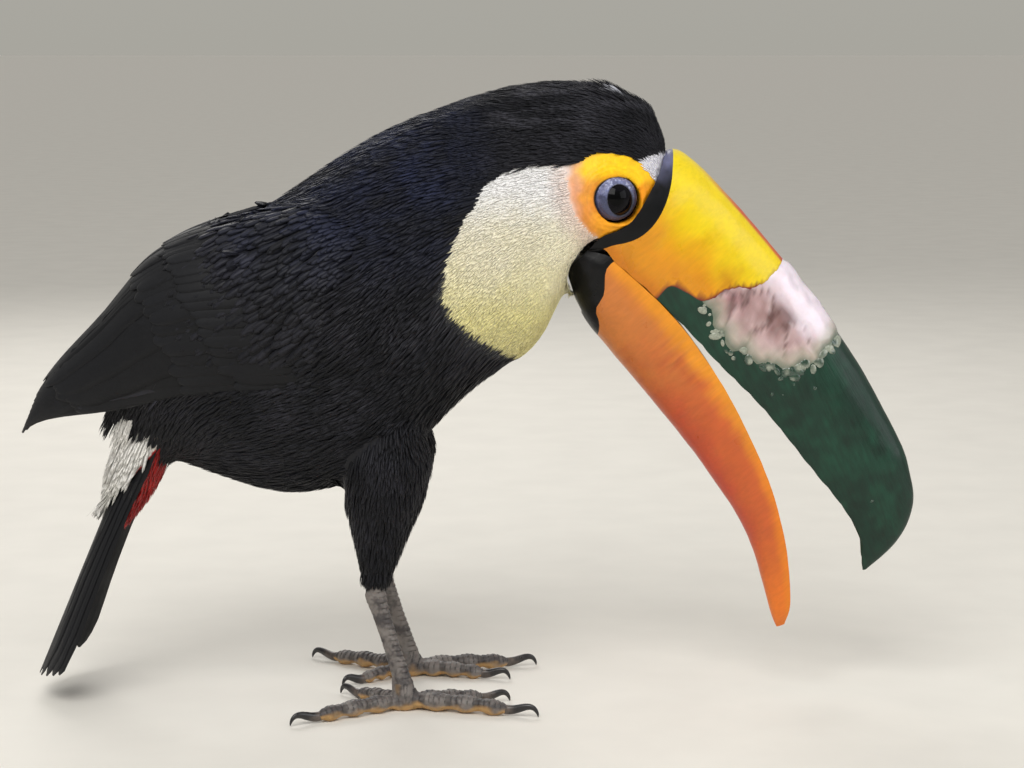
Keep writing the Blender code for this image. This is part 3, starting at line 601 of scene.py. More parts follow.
def lower_whole(name, count=170):
    """The lower bill as rings round a keel, two cutting edges and the trough between them."""
    a = math.pi * (np.linspace(0, 1, 29) - 0.5)
    bowl = np.stack([np.sin(a), 0.72 * (1 - np.cos(a))], axis=1)
    t = np.linspace(0, 1, 5)[1:, None]
    lip = (1 - t) * (1.0, 0.72) + t * (0.965, 1.0)
    y = np.linspace(0.84, -0.84, 17)
    floor = TROUGH_FLOOR + TROUGH_RISE * np.abs(y)
    wall = np.maximum(floor, floor + (0.99 - floor) * eased(np.abs(y), 0.6, 0.84))
    inside = np.stack([y, wall], axis=1)
    outline = np.concatenate([bowl, lip, inside, (lip * (-1, 1))[::-1]])
    rows = smooth_rows(LOWER_BILL, count)
    rings = swept(np.concatenate([rows[:, 2:4], rows[:, 0:2], rows[:, 4:]], axis=1), outline)
    points = rings.reshape(-1, 3)
    whole = piece_of(name, points, faces_of_rings(count, len(outline)))
    run, level = np.linspace(0, 1, count), outline[:, 1]
    wrinkle = wrinkles(points).reshape(count, -1)
    wrinkle = wrinkle * eased(level, 0.1, 0.3) * (1 - eased(level, 0.9, 1.0))
    swell = 0.42 * wrinkle.ravel() + 0.16 * lumps(points, 8, 32) + 0.06 * lumps(points, 2.5, 33)
    move_points(whole, points + normals_of(whole) * swell[:, None])
    return whole


lower = lower_whole("bill_lower_horn")
cut(lower, slab(before_face), "INTERSECT")
cut(lower, upper_whole("upper_again", 90, lambda points: np.full(len(points), 0.25), teeth=0.0), "DIFFERENCE")
lower_base = twin(lower, "bill_lower_base_band")
lower_band = [(80, 200), (112, 200), *smooth_rows(LOWER_BAND_EDGE, 16).tolist(), (80, 148)]
cut(lower_base, slab(lower_band), "INTERSECT")
cut(lower, slab(lower_band), "DIFFERENCE")
spot = points_of(lower)
from_keel, along_keel = away_from(KEEL, spot)
from_edge = away_from(LOWER_EDGE, spot)[0]
level = from_edge / (from_edge + from_keel)
cloud = 0.5 * lumps(spot, 10, 34) + 0.5 * lumps(spot, 4, 35)
body = mixed(ink(204, 120, 50), ink(200, 92, 38), eased(along_keel + 0.08 * cloud, 0.15, 0.5))
redder = 0.85 * eased(level + 0.2 * cloud, 0.5, 0.95) * eased(along_keel, 0.25, 0.55)
body = mixed(body, ink(194, 66, 42), redder)
body = mixed(body, ink(226, 116, 26), eased(along_keel + 0.05 * cloud, 0.72, 0.95))
rim = mixed(ink(230, 146, 30), ink(226, 124, 20), eased(along_keel, 0.4, 0.8))
colour = mixed(rim, body, eased(level + 0.12 * cloud, 0.04, 0.3))
# Painted shade: the hollows of the growth wrinkles are painted a darker red-orange.
colour = mixed(colour, ink(186, 84, 36), 0.5 * eased(-wrinkles(spot), 0.1, 0.8) * eased(level, 0.15, 0.4))
paint(lower, colour)
orange_horn = horn("horn_orange", 0.34)
stand_in_for(lower, orange_horn, "bill_orange", "bill_lower")
paint(lower_base, mixed(ink(8, 8, 10), ink(20, 20, 23), eased(lumps(points_of(lower_base), 3, 36), 0, 0.7)))
stand_in_for(lower_base, black_horn, "bill_black", "bill_lower_band")

tongue_rows = smooth_rows(LOWER_BILL, 60, 0.14, 0.62)
u = np.linspace(0, 1, 60)
half = 5.2 * (1 - 0.8 * u**2)
turn = 2 * math.pi * np.arange(20) / 20
side, rise = np.sin(turn), 0.5 - 0.5 * np.cos(turn)
keel, edge = tongue_rows[:, 0:2], tongue_rows[:, 2:4]
up = (edge - keel) / np.linalg.norm(edge - keel, axis=1, keepdims=True)
floor = TROUGH_FLOOR + TROUGH_RISE * np.abs(side)[None, :] * (half / tongue_rows[:, 4])[:, None]
flat = keel[:, None] + (edge - keel)[:, None] * floor[..., None]
fringe = 0.5 * np.abs(np.sin(u * 90))[:, None, None] * (np.abs(side) > 0.8)[None, :, None]
flat = flat + up[:, None] * (0.6 + 1.8 * rise[None, :, None] + fringe)
points = np.stack([flat[..., 0], side[None, :] * half[:, None], flat[..., 1]], axis=-1).reshape(-1, 3)
tongue = piece_of("tongue_in_trough", points, faces_of_rings(60, 20))
paint(tongue, mixed(ink(112, 84, 80), ink(60, 48, 50), u.repeat(20)))
wet_skin = grained(
    "tongue_skin", ((0.8, 4),), ((0, 0.8, 1.15),), (0, 0.3, 0.5), ((0, 0.4, 0.3),),
    Roughness=0.4, Coat_Weight=0.3, Coat_Roughness=0.2,
)
stand_in_for(tongue, wet_skin, "tongue", "tongue")


# ================================================================ skin
# The skin is one closed piece, from the face to the tail root and down the legs to the toes. Most of it is
# hidden under the coat and has the coat's colours, a shade darker as painted shade under the feathers. Round the eyes
# it is bare, yellow and finely wrinkled, and on the legs and toes it is grey and scaled.

FLESH = [
    "head", "neck", "trunk", "bib", "thigh_left", "thigh_right", "orbital_skin_left", "orbital_skin_right",
    "wing_left", "wing_right", "flight_feathers_left", "flight_feathers_right", "crissum", "tail_coverts_upper",
]
LEGS = [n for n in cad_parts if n.startswith(("tarsus_", "toe_"))]
ORBIT = (
    (92.2, 222), (96, 224.4), (100.5, 226.2), (105.5, 227.2), (110.5, 227.2), (115.5, 225.8), (120.5, 222.4),
    (124.6, 217.5), (127, 212),
    (121.5, 203), (113.5, 196), (105.5, 191.5), (99, 196.5), (94, 203), (91.5, 210), (91, 217),
)
BIB = (
    (92, 222.5), (84.5, 223), (74, 222.5), (62, 219), (55, 214), (50.5, 206), (44, 194), (39.8, 182),
    (39.6, 172), (43.5, 163), (50, 156), (61, 148.5), (72, 142), (88, 134), (106, 150), (112, 170),
)
PALE_PATCH = (  # before the eye
    (118.8, 224.2), (122, 225.4), (126.5, 226.6), (131.5, 226.6), (130, 220), (126, 214), (121, 219),
)


GAPE = ((95, 189), (101, 193.5), (112, 195), (117, 189), (110, 181), (97, 182))  # the dark corner of the mouth


def solids_together(name, nodes, swell):
    """A copy of some plain solids as one mesh, each swollen a little so that they run into each other."""
    together = bmesh.new()
    for n in nodes:
        part = bmesh.new()
        part.from_mesh(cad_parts[n].data)
        bmesh.ops.remove_doubles(part, verts=part.verts, dist=1e-6)
        part.normal_update()
        moves = [v.normal * swell * MM for v in part.verts]
        for v, move in zip(part.verts, moves):
            v.co += move
        mesh = bpy.data.meshes.new("part")
        part.to_mesh(mesh)
        part.free()
        together.from_mesh(mesh)
        bpy.data.meshes.remove(mesh)
    mesh = bpy.data.meshes.new(name)
    together.to_mesh(mesh)
    together.free()
    return placed(name, mesh)


def remeshed(piece, fine):
    change = piece.modifiers.new("Remesh", "REMESH")
    change.mode, change.voxel_size = "VOXEL", fine * MM
    return kept_shape(piece)


def edges_of(piece):
    return read_rows(piece.data.edges, "vertices", 2, np.int32)


def pulled(points, edges, count, pull):
    """Moves each point a share of the way to the middle of its neighbours."""
    total = np.stack([
        np.bincount(edges[:, 0], points[edges[:, 1], k], len(points))
        + np.bincount(edges[:, 1], points[edges[:, 0], k], len(points))
        for k in range(points.shape[1])
    ], axis=1)
    return points + (total / count - points) * pull


def smoothed(points, edges, times):
    """Evens out small bumps without shrinking the shape, by pulling its points together and back."""
    count = np.bincount(edges.ravel(), minlength=len(points))[:, None]
    for _ in range(times):
        points = pulled(pulled(points, edges, count, 0.5), edges, count, -0.52)
    return points


def rounded_off(points, edges, times, pull):
    """Rounds off the flat facets of the plain solids, by a different amount at each point."""
    count = np.bincount(edges.ravel(), minlength=len(points))[:, None]
    for _ in range(times):
        points = pulled(points, edges, count, pull[:, None])
    return points


def face_arrays(piece):
    """The triangles of a piece as rows of three points."""
    piece.data.calc_loop_triangles()
    return read_rows(piece.data.loop_triangles, "vertices", 3, np.int32)


plain_points, plain_faces, plain_owner = [], [], []
for n in FLESH:
    points, faces = points_of(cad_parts[n]), face_arrays(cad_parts[n])
    plain_faces.append(faces + sum(len(p) for p in plain_points))
    plain_points.append(points)
    plain_owner += [n] * len(faces)
plain_tree = BVHTree.FromPolygons(np.concatenate(plain_points).tolist(), np.concatenate(plain_faces).tolist())
owner_of_face = np.array([FLESH.index(n) for n in plain_owner])


def owners(points):
    """The plain solid that is nearest to each point, as its place in FLESH."""
    return np.array([owner_of_face[plain_tree.find_nearest(p)[2]] for p in points.tolist()])


def belongs(owner, *names):
    return np.isin(owner, [i for i, n in enumerate(FLESH) if n.startswith(names)])


skin = remeshed(solids_together("skin", FLESH, 0.3), 1.1)
# Beyond the body the wings are bare feathers, so the skin ends there.
WINGS_LEAVE_SKIN, WINGS_HEAD = Vector((-120, 0, 100)), (-0.914, 0, 0.406)
whole = bmesh.new()
whole.from_mesh(skin.data)
ends = bmesh.ops.bisect_plane(
    whole, geom=[*whole.verts, *whole.edges, *whole.faces],
    plane_co=(WINGS_LEAVE_SKIN + Vector(SHIFT)) * MM, plane_no=WINGS_HEAD, clear_outer=True,
)["geom_cut"]
bmesh.ops.edgeloop_fill(whole, edges=[e for e in ends if isinstance(e, bmesh.types.BMEdge)])
whole.to_mesh(skin.data)
whole.free()
points, links = points_of(skin), edges_of(skin)
points = smoothed(points, links, 6)
x, side, z = points[:, 0], np.abs(points[:, 1]), points[:, 2]
to_face, over_face = away_from(FACE_EDGE, points)[0], depth_in(ahead_of(FACE_EDGE), points)
in_orbit = np.where(side > 9, depth_in(ORBIT, points), -9.0)
points = rounded_off(points, links, 90, 0.5 * eased(to_face, 3, 14) * (1 - eased(in_orbit, -4, -1)))
move_points(skin, points)
found = [plain_tree.find_nearest(p) for p in points.tolist()]
owner = owner_of_face[[f[2] for f in found]]
depth = 0.6 + 1.5 * eased(to_face, 4, 30)
depth = np.where(belongs(owner, "thigh"), 1.5, depth)
depth = np.where(belongs(owner, "crissum", "tail_coverts"), 1.6, depth)
depth = np.where(belongs(owner, "wing", "flight"), 1.7, depth)
depth = depth * (1 - eased(in_orbit, -2.5, 0.5)) + 0.25
depth -= 0.9 * np.exp(-(((x - 121) / 9) ** 2) - ((z - 246) / 9) ** 2)  # the full forehead
depth += 1.9 * eased(over_face, -0.5, 1.5) + 2.2 * eased(200 - z, 0, 8) * eased(over_face, -6, 0) * (x > 96)
inside = ((np.array([f[0] for f in found]) - points) * normals_of(skin)).sum(axis=1).clip(-3, 4)
move = (inside - depth)[:, None]
count = np.bincount(links.ravel(), minlength=len(points))[:, None]
for _ in range(24):
    move = pulled(move, links, count, 0.7)
points = smoothed(points + normals_of(skin) * move, links, 3)
move_points(skin, points)


def finer_where(piece, chosen, times=1):
    """Splits the faces whose points are all chosen by a rule into smaller ones."""
    for _ in range(times):
        pick = chosen(points_of(piece))
        shaped = bmesh.new()
        shaped.from_mesh(piece.data)
        shaped.verts.ensure_lookup_table()
        edges = [e for e in shaped.edges if pick[e.verts[0].index] and pick[e.verts[1].index]]
        bmesh.ops.subdivide_edges(shaped, edges=edges, cuts=1, use_grid_fill=True, smooth=0.6)
        shaped.to_mesh(piece.data)
        shaped.free()
    piece.data.shade_smooth()


EYE_SET = (108.0, 17.4, 209.6)  # where the ball sits in its socket


def from_eye(points):
    """How far each point is from the middle of its eye, seen from the side."""
    return np.hypot(points[:, 0] - EYE_SET[0], points[:, 2] - EYE_SET[2])


def by_the_eye(points):
    """The bare skin round the eyes."""
    return (from_eye(points) < 21) & (np.abs(points[:, 1]) > 10) & (depth_in(ORBIT, points) > -1.5)


finer_where(skin, by_the_eye, 2)
points = smoothed(points_of(skin), edges_of(skin), 2)
move_points(skin, points)
out_from_eye = from_eye(points)
bare = eased(depth_in(ORBIT, points), -0.8, 0.8) * eased(np.abs(points[:, 1]), 9, 12)
fold = 0.6 * np.sin(out_from_eye * 2 * math.pi / 2.1 + 2.2 * lumps(points, 5, 41))
fold = fold * np.exp(-((out_from_eye - 11.5) / 3.4) ** 2)
pebble = 0.06 * lumps(points, 1.3, 42) + 0.04 * lumps(points, 0.7, 43) + 0.12 * lumps(points, 4.5, 44)
swell = 0.55 * np.exp(-((out_from_eye - 12.0) / 3.0) ** 2)
bare *= 1 - eased(depth_in(ahead_of(FACE_EDGE), points), -1.5, 0.5)
points = points + normals_of(skin) * (bare * (0.13 * fold + pebble + swell))[:, None]
move_points(skin, points)
skin_points, skin_faces = points, face_arrays(skin)
skin_tree = BVHTree.FromPolygons(skin_points.tolist(), skin_faces.tolist())

BLACK, SHEEN_BLUE_BLACK, GREY_BLACK = ink(18, 19, 25), ink(28, 34, 58), ink(35, 35, 42)
TAIL_ROOT, TAIL_HALF_WIDTH, TAIL_ARCH, TAIL_SLOPE = (-84, 119), (13, 30), 13, math.radians(67)


def over_tail(points):
    """How far each point lies above the arched sheet of the tail feathers."""
    ahead, rise = points[:, 0] - TAIL_ROOT[0], points[:, 2] - TAIL_ROOT[1]
    along = -math.cos(TAIL_SLOPE) * ahead - math.sin(TAIL_SLOPE) * rise
    up = math.cos(TAIL_SLOPE) * rise - math.sin(TAIL_SLOPE) * ahead
    wider = np.sin(math.pi / 2 * np.clip((along + 12) / 134 / 0.85, 0, 1))
    half = TAIL_HALF_WIDTH[0] + (TAIL_HALF_WIDTH[1] - TAIL_HALF_WIDTH[0]) * wider
    return up + TAIL_ARCH * (points[:, 1] / half) ** 2


def coat_colour(points, owner):
    """The bird's markings: black, with a white bib, white rump and red under the tail; a blue sheen on the back and a
    grey sheen on the crown are painted on.
    """
    x, side, z = points[:, 0], np.abs(points[:, 1]), points[:, 2]
    cloud = lumps(points, 14, 51) * 0.6 + lumps(points, 5, 52) * 0.4
    colour = mixed(BLACK, GREY_BLACK, eased(cloud, -0.3, 0.7))
    # Painted sheen: the back over the wings is painted blue-black in clouds, for the blue sheen of the light on its
    # feathers.
    mantle = eased(x, -70, -20) * (1 - eased(x, 35, 70)) * eased(z, 165, 215)
    colour = mixed(colour, SHEEN_BLUE_BLACK, mantle * eased(cloud, -0.8, 0.5))
    # Painted sheen: grey streaks painted along the top of the crown stand for the soft sheen of the light on its silky
    # feathers.
    streak = eased(lumps(points * (0.22, 1, 1), 2.6, 57), 0.0, 0.7) * eased(z, 228, 244) * eased(x, 40, 70)
    colour = mixed(colour, ink(60, 60, 68), 0.8 * streak)
    fleck = np.hypot((x - 109) / 3.6, (z - 250.5 - 0.25 * (109 - x)) / 1.1) + 0.4 * lumps(points, 1.2, 58)
    colour = mixed(colour, ink(196, 198, 208), (1 - eased(fleck, 0.5, 1.0)) * (points[:, 1] < 0))
    white = mixed(ink(255, 254, 255), ink(244, 236, 206), eased(216 - z + 6 * cloud, 0, 26))
    white = mixed(white, ink(236, 226, 152), eased(190 - z + 7 * cloud, 0, 34) * 0.95)
    white = mixed(white, ink(236, 206, 192), 0.8 * (1 - eased(-depth_in(ORBIT, points), 0, 12)))
    edge = depth_in(BIB, points) + 1.2 * lumps(points, 3, 53)
    bib = belongs(owner, "bib")
    colour = np.where(bib[:, None], mixed(colour, white, eased(edge, -0.5, 0.9)), colour)
    patch = eased(depth_in(PALE_PATCH, points) + 0.5 * lumps(points, 1.5, 54), -0.4, 0.5) * (side > 6)
    colour = mixed(colour, ink(244, 243, 252), patch)
    rump = mixed(ink(238, 236, 232), ink(220, 218, 212), eased(cloud, -0.5, 0.6))
    vent = mixed(ink(186, 22, 18), ink(140, 12, 14), eased(cloud, -0.5, 0.6))
    under = belongs(owner, "crissum", "tail_coverts")[:, None]
    colour = np.where(under, np.where((over_tail(points) > 0)[:, None], rump, vent), colour)
    return mixed(colour, ink(8, 8, 10), eased(depth_in(GAPE, points) + 0.4 * lumps(points, 1.5, 59), -0.3, 0.4))


owner = owners(points)
# The skin under the coat has the coat's colours a shade darker: painted shade under the feathers.
colour = coat_colour(points, owner) * 0.92
cloud = lumps(points, 3.5, 55)
orbit = mixed(ink(254, 200, 18), ink(250, 168, 34), eased(211 - points[:, 2] + 4 * cloud, -6, 12))
before_eye = 0.7 * eased(points[:, 0] + 2 * cloud, 117, 121) * eased(points[:, 2], 200, 205)
orbit = mixed(orbit, ink(240, 134, 26), before_eye * (1 - eased(points[:, 2], 213, 219)))
above_eye = 0.8 * eased(104 - points[:, 0] + 2 * cloud, 0, 6) * (1 - eased(points[:, 2], 214, 221))
orbit = mixed(orbit, ink(222, 138, 66), above_eye)
orbit = mixed(orbit, ink(222, 160, 128), 0.8 * eased(97 - points[:, 0] + 1.5 * cloud, 0, 5))
orbit = mixed(orbit, ink(226, 124, 24), 0.4 * (1 - eased(out_from_eye, 9.0, 10.4)))
border = depth_in(ORBIT, points) + 0.4 * lumps(points, 2, 56)
behind_eye = eased(106 - points[:, 0], 0, 5)
bare_here = eased(border, -0.35 - 2.5 * behind_eye, 0.35 + 0.4 * behind_eye)
colour = mixed(colour, orbit, bare_here * eased(np.abs(points[:, 1]), 9, 12))
# Painted shade: the skin in the socket round each eyeball is painted near black, for the shade deep in the socket.
in_socket = (1 - eased(from_eye(points), 7.6, 8.6)) * (np.abs(points[:, 1]) > 9)
colour = mixed(colour, ink(10, 9, 12), in_socket)
# Painted shade: a strip of skin along the base of the lower bill is painted dark olive, for the shade beside the bill.
beside_bill = (1 - eased(away_from(FACE_EDGE, points)[0], 1.5, 4)) * (points[:, 2] < 188)
colour = mixed(colour, ink(70, 66, 48), 0.8 * beside_bill)


# The scaled legs and toes, at a finer grain than the body, join the same skin above the ankle.

TOES = (
    ("inner_front", -13, 31, 3.4, 12.5), ("outer_front", 15, 42, 3.7, 14),
    ("outer_back", 148, 38, 3.5, 13.5), ("inner_back", -142, 23, 3.0, 11),
)
FOOT_AT = (23.0, 27.0)

legs = remeshed(solids_together("legs", LEGS, 0.2), 0.44)
leg_points = points_of(legs)
leg_points = rounded_off(leg_points, edges_of(legs), 36, np.full(len(leg_points), 0.5))
move_points(legs, leg_points)
leg_points = leg_points + 0.3 * normals_of(legs)
leg_normals = normals_of(legs)
along_toe, pad = np.zeros(len(leg_points)), np.zeros(len(leg_points))
nearest = np.full(len(leg_points), 1e9)
for name, heading, length, thickness, claw in TOES:
    a = math.radians(heading)
    away = np.stack([leg_points[:, 0] - FOOT_AT[0], np.abs(leg_points[:, 1]) - FOOT_AT[1]], axis=1)
    run = away @ np.array((math.cos(a), math.sin(a)))
    off = np.abs(away @ np.array((-math.sin(a), math.cos(a))))
    better = (off + 2 * np.maximum(-run, 0) < nearest) & (leg_points[:, 2] < 11)
    nearest = np.where(better, off + 2 * np.maximum(-run, 0), nearest)
    along_toe = np.where(better, run, along_toe)
    bulge = np.cos(7 * math.pi * (run - 2) / length) * eased(run, 4, 9)
    bulge = bulge * (1 - eased(run, length - 1, length + 2))
    pad = np.where(better, bulge, pad)
shank = leg_points[:, 2] >= 11
along_toe = np.where(shank, leg_points[:, 2] * 1.04, along_toe)
front = np.where(shank, leg_normals[:, 0], leg_normals[:, 2])
scute = (along_toe / 2.3 + 0.18 * lumps(leg_points, 5, 61)) % 1
plate = (1 - scute) ** 0.5 * (scute > 0.04) * eased(front, -0.1, 0.45)
grain = lumps(leg_points, 1.1, 62) + 0.6 * lumps(leg_points, 0.6, 63)
swell = 0.5 * (plate - 0.5) + 0.12 * grain * (1 - eased(front, 0, 0.5)) + 0.04 * grain - 0.1
swell += 0.38 * pad * (1 - 0.7 * eased(front, 0, 0.6)) * ~shank
leg_points = leg_points + leg_normals * swell[:, None]
leg_points[:, 2] = np.maximum(leg_points[:, 2], 0.02)
move_points(legs, leg_points)
patchy = lumps(leg_points, 4, 64)
grey = mixed(ink(122, 116, 112), ink(74, 70, 70), eased(patchy + 0.5 * grain, -0.6, 0.8))
grey = mixed(grey, ink(40, 37, 38), 0.85 * (1 - eased(scute, 0.02, 0.22)) * eased(front, -0.1, 0.4))
grey = mixed(grey, ink(46, 42, 42), 0.6 * eased(-pad, 0.5, 1.0) * ~shank)
ochre = eased(-leg_normals[:, 2] + 0.5 * patchy, -0.15, 0.45) * ~shank
leg_colour = mixed(grey, ink(190, 150, 96), 0.8 * ochre)

bare_skin = grained(
    "skin_bare", ((0.45, 3), (2.4, 4)), ((1, 0.88, 1.1),), (0, 0.38, 0.62), ((0, 0.35, 0.18), (1, 0.2, 0.4)),
    Roughness=0.5, Coat_Weight=0.05, Coat_Roughness=0.3, Specular_IOR_Level=0.25, Subsurface_Weight=0.05,
    Subsurface_Scale=0.002,
)
# A soft black fold of skin closes each corner of the mouth, from one side of the throat to the other.
a, rings = 2 * math.pi * np.arange(28) / 28, np.linspace(-1, 1, 41)
size = np.sqrt(np.maximum(1 - np.abs(rings) ** 5, 0.002))[:, None]
along_gape, over_gape = 7.2 * np.cos(a) * size, 3.1 * np.sin(a) * size
points = np.stack([
    101.8 + 0.96 * along_gape - 0.28 * over_gape, 15.4 * rings[:, None] + 0 * along_gape,
    188.4 + 0.28 * along_gape + 0.96 * over_gape,
], axis=-1).reshape(-1, 3)
points += 0.12 * lumps(points, 2, 65)[:, None]
mouth_fold = piece_of("mouth_fold", points, faces_of_rings(41, 28))
together = bmesh.new()
together.from_mesh(skin.data)
together.from_mesh(legs.data)
together.from_mesh(mouth_fold.data)
together.to_mesh(skin.data)
together.free()
bpy.data.objects.remove(legs)
bpy.data.objects.remove(mouth_fold)
skin.data.shade_smooth()
paint(skin, np.concatenate([colour, leg_colour, np.tile(ink(9, 9, 11), (41 * 28, 1))]))
stand_in_for(skin, bare_skin, "body_black", *FLESH, *LEGS)


# ================================================================ eyes and lids
# Each eye is a glossy dark ball. A ring of bare lid, blue-grey and pimpled, bears on it all round an upright
# oval opening, with a thin dark rim outside.

EYE_RADIUS, LID_OPENING, OPENING_AT, OPENING_LEANS = 8.6, (5.3, 6.6), (1.8, -0.9), math.radians(15)
LOOKS_FORWARD = math.radians(8)
eye_finish = grained(
    "eye_wet", ((1.2, 4),), ((0, 0.7, 1.3),), (0, 0.04, 0.09), ((0, 0.02, 0.1),),
    Roughness=0.08, Coat_Weight=0.05, Coat_Roughness=0.02, IOR=1.4, Specular_IOR_Level=0.12,
)
lid_finish = grained(
    "lid_skin", ((0.4, 4), (1.0, 4)), ((0, 0.65, 1.4),), (1, 0.25, 0.5), ((0, 0.5, 0.2), (1, 0.3, 0.3)),
    Roughness=0.42, Coat_Weight=0.2, Coat_Roughness=0.2,
)

for hand, name in ((-1, "right"), (1, "left")):
    turned = np.array(Matrix.Rotation(-hand * LOOKS_FORWARD, 3, "Z"))
    middle = np.array((EYE_SET[0], hand * EYE_SET[1], EYE_SET[2]))
    rings, steps = 40, 64
    lean = math.pi * np.arange(1, rings) / rings
    about = 2 * math.pi * np.arange(steps) / steps
    reach = EYE_RADIUS + 0.55 * np.exp(-((lean / 0.5) ** 2)) - 0.05
    grid = np.stack([
        reach[:, None] * np.sin(lean)[:, None] * np.cos(about)[None],
        hand * reach[:, None] * np.cos(lean)[:, None] * np.ones(steps)[None],
        reach[:, None] * np.sin(lean)[:, None] * np.sin(about)[None],
    ], axis=-1).reshape(-1, 3)
    ball = piece_of("eyeball_" + name, grid @ turned.T + middle, faces_of_rings(rings - 1, steps))
    iris = eased(lean, 0.30, 0.42).repeat(steps)
    colour = mixed(ink(1, 1, 2), ink(10, 9, 14), iris)
    paint(ball, colour)
    stand_in_for(ball, eye_finish, "eye", "eye_" + name)

    steps, across = 144, 26
    about = 2 * math.pi * np.arange(steps) / steps
    wide, tall = LID_OPENING[0] * np.cos(about), LID_OPENING[1] * np.sin(about)
    ahead = OPENING_AT[0] + wide * math.cos(OPENING_LEANS) - tall * math.sin(OPENING_LEANS)
    up = OPENING_AT[1] + wide * math.sin(OPENING_LEANS) + tall * math.cos(OPENING_LEANS)
    opening = np.arcsin(np.hypot(ahead, up) / 8.95)
    about = np.arctan2(up, ahead)
    share = np.linspace(0, 1, across)
    outer = math.asin(0.985)
    lean = opening[:, None] + (outer - opening[:, None]) * share[None]
    rise = 8.75 + 0.95 * np.sin(math.pi * np.minimum(share * 1.7, 1) / 2) ** 0.7 - 0.55 * eased(share, 0.78, 1.0)
    rise = rise[None] + 0 * lean
    ring = np.stack([
        rise * np.sin(lean) * np.cos(about)[:, None], hand * rise * np.cos(lean),
        rise * np.sin(lean) * np.sin(about)[:, None],
    ], axis=-1)
    flat = ring.reshape(-1, 3)
    pleat = np.sin(about * 46)[:, None] * (eased(share, 0.0, 0.1) * (1 - eased(share, 0.25, 0.5)))[None]
    pimple = 0.12 * lumps(flat, 0.9, 71).reshape(steps, across) + 0.06 * lumps(flat, 0.5, 72).reshape(steps, across)
    crease = -0.16 * np.exp(-(((share - 0.42) / 0.05) ** 2)) - 0.2 * np.exp(-(((share - 0.88) / 0.03) ** 2))
    out = flat / np.linalg.norm(flat, axis=1, keepdims=True)
    flat = flat + out * (0.04 * pleat + pimple + crease[None]).reshape(-1, 1)
    inner = flat - out * 1.0
    points = np.concatenate([flat, inner])
    faces = []
    for i in range(steps):
        j = (i + 1) % steps
        for k in range(across - 1):
            a, b, c, d = i * across + k, i * across + k + 1, j * across + k + 1, j * across + k
            faces += [[a, b, c, d], [steps * across + e for e in (d, c, b, a)]]
        for k, flip in ((0, False), (across - 1, True)):
            a, b = i * across + k, j * across + k
            rim = [a, b, steps * across + b, steps * across + a]
            faces.append(rim[::-1] if flip else rim)
    lid = piece_of("lid_ring_" + name, points @ turned.T + middle, faces)
    share = np.tile(share, steps)
    up = (ring[..., 2].ravel()) / 9
    # Painted light: the lid is painted lighter towards its top and darker at its front and bottom, as the light falls
    # on it, and the white glints on its upper half are painted highlights.
    tone = mixed(ink(58, 62, 92), ink(112, 118, 160), eased(up + 0.5 * lumps(flat, 1.4, 73), -0.3, 0.9))
    tone = mixed(tone, ink(28, 30, 48), 0.6 * eased(ring[..., 0].ravel() / 9 - 0.6 * up, 0.3, 0.9))
    tone = mixed(tone, ink(196, 202, 232), 0.7 * eased(lumps(flat, 0.6, 74), 0.1, 0.5) * eased(up, 0.1, 0.7))
    tone = mixed(tone, ink(20, 20, 34), 1 - eased(share, 0.0, 0.07))
    tone = mixed(tone, ink(24, 22, 36), eased(share, 0.86, 0.93))
    paint(lid, np.concatenate([tone, tone]))
    stand_in_for(lid, lid_finish, "eyelid_blue", "eyelid_" + name)


# ================================================================ claws
# Eight strong hooked claws of dark horn, one on each toe, growing out of the last pad of the toe.


def unit(rows):
    return rows / np.maximum(np.linalg.norm(rows, axis=-1, keepdims=True), 1e-9)


claw_finish = grained(
    "claw_horn", ((0.9, 4, (1, 1, 0.3)),), ((0, 0.7, 1.3),), (0, 0.25, 0.45), ((0, 0.25, 0.2),),
    Roughness=0.32, Coat_Weight=0.3, Coat_Roughness=0.15,
)
for hand, side in ((-1, "right"), (1, "left")):
    for name, heading, length, thickness, claw in TOES:
        a = math.radians(heading)
        ahead = np.array((math.cos(a), hand * math.sin(a), 0.0))
        level = np.array((-hand * math.sin(a), math.cos(a), 0.0))
        u = np.linspace(-0.22, 1, 30)
        hooked = np.clip(u, 0, 1)
        run = claw * 0.92 * np.where(u < 0, math.pi / 2 * u, np.sin(math.pi / 2 * hooked))
        high = 0.7 * thickness
        rise = high + 2.4 * np.sin(0.9 * math.pi * hooked) ** 2 - (high - 0.2) * hooked**2.2
        spine = np.stack([run, rise], axis=1)
        heads = unit(np.gradient(spine, axis=0))
        size = (0.74 + 0.26 * eased(u, -0.2, 0.02)) * (1.95 * (1 - hooked) ** 0.7 + 0.1)
        turn = 2 * math.pi * np.arange(20) / 20
        up = size[:, None] * np.sin(turn)
        across = 0.78 * size[:, None] * np.cos(turn) * (1 - 0.22 * np.maximum(-np.sin(turn), 0))
        forth = spine[:, 0, None] - up * heads[:, 1, None]
        foot = np.array((FOOT_AT[0], hand * FOOT_AT[1], 0.0))
        points = foot + ahead * (2 + length + forth)[..., None] + level * across[..., None]
        points[..., 2] = np.maximum(spine[:, 1, None] + up * heads[:, 0, None], 0.02)
        points = points.reshape(-1, 3)
        claw_piece = piece_of(f"hooked_claw_{side}_{name}", points, faces_of_rings(30, 20))
        share = u.repeat(20) + 0.2 * lumps(points, 2.5, 81)
        paint(claw_piece, mixed(ink(86, 76, 70), ink(26, 24, 26), eased(share, -0.05, 0.3)))
        stand_in_for(claw_piece, claw_finish, "claw", f"claw_{side}_{name}")


# ================================================================ coat of the head, neck and body
# The coat is thousands of small soft feathers, rooted in the skin in overlapping rows and lying back along
# the bird. They are finest round the face, silky on the crown and bib, and broader on the back and belly.

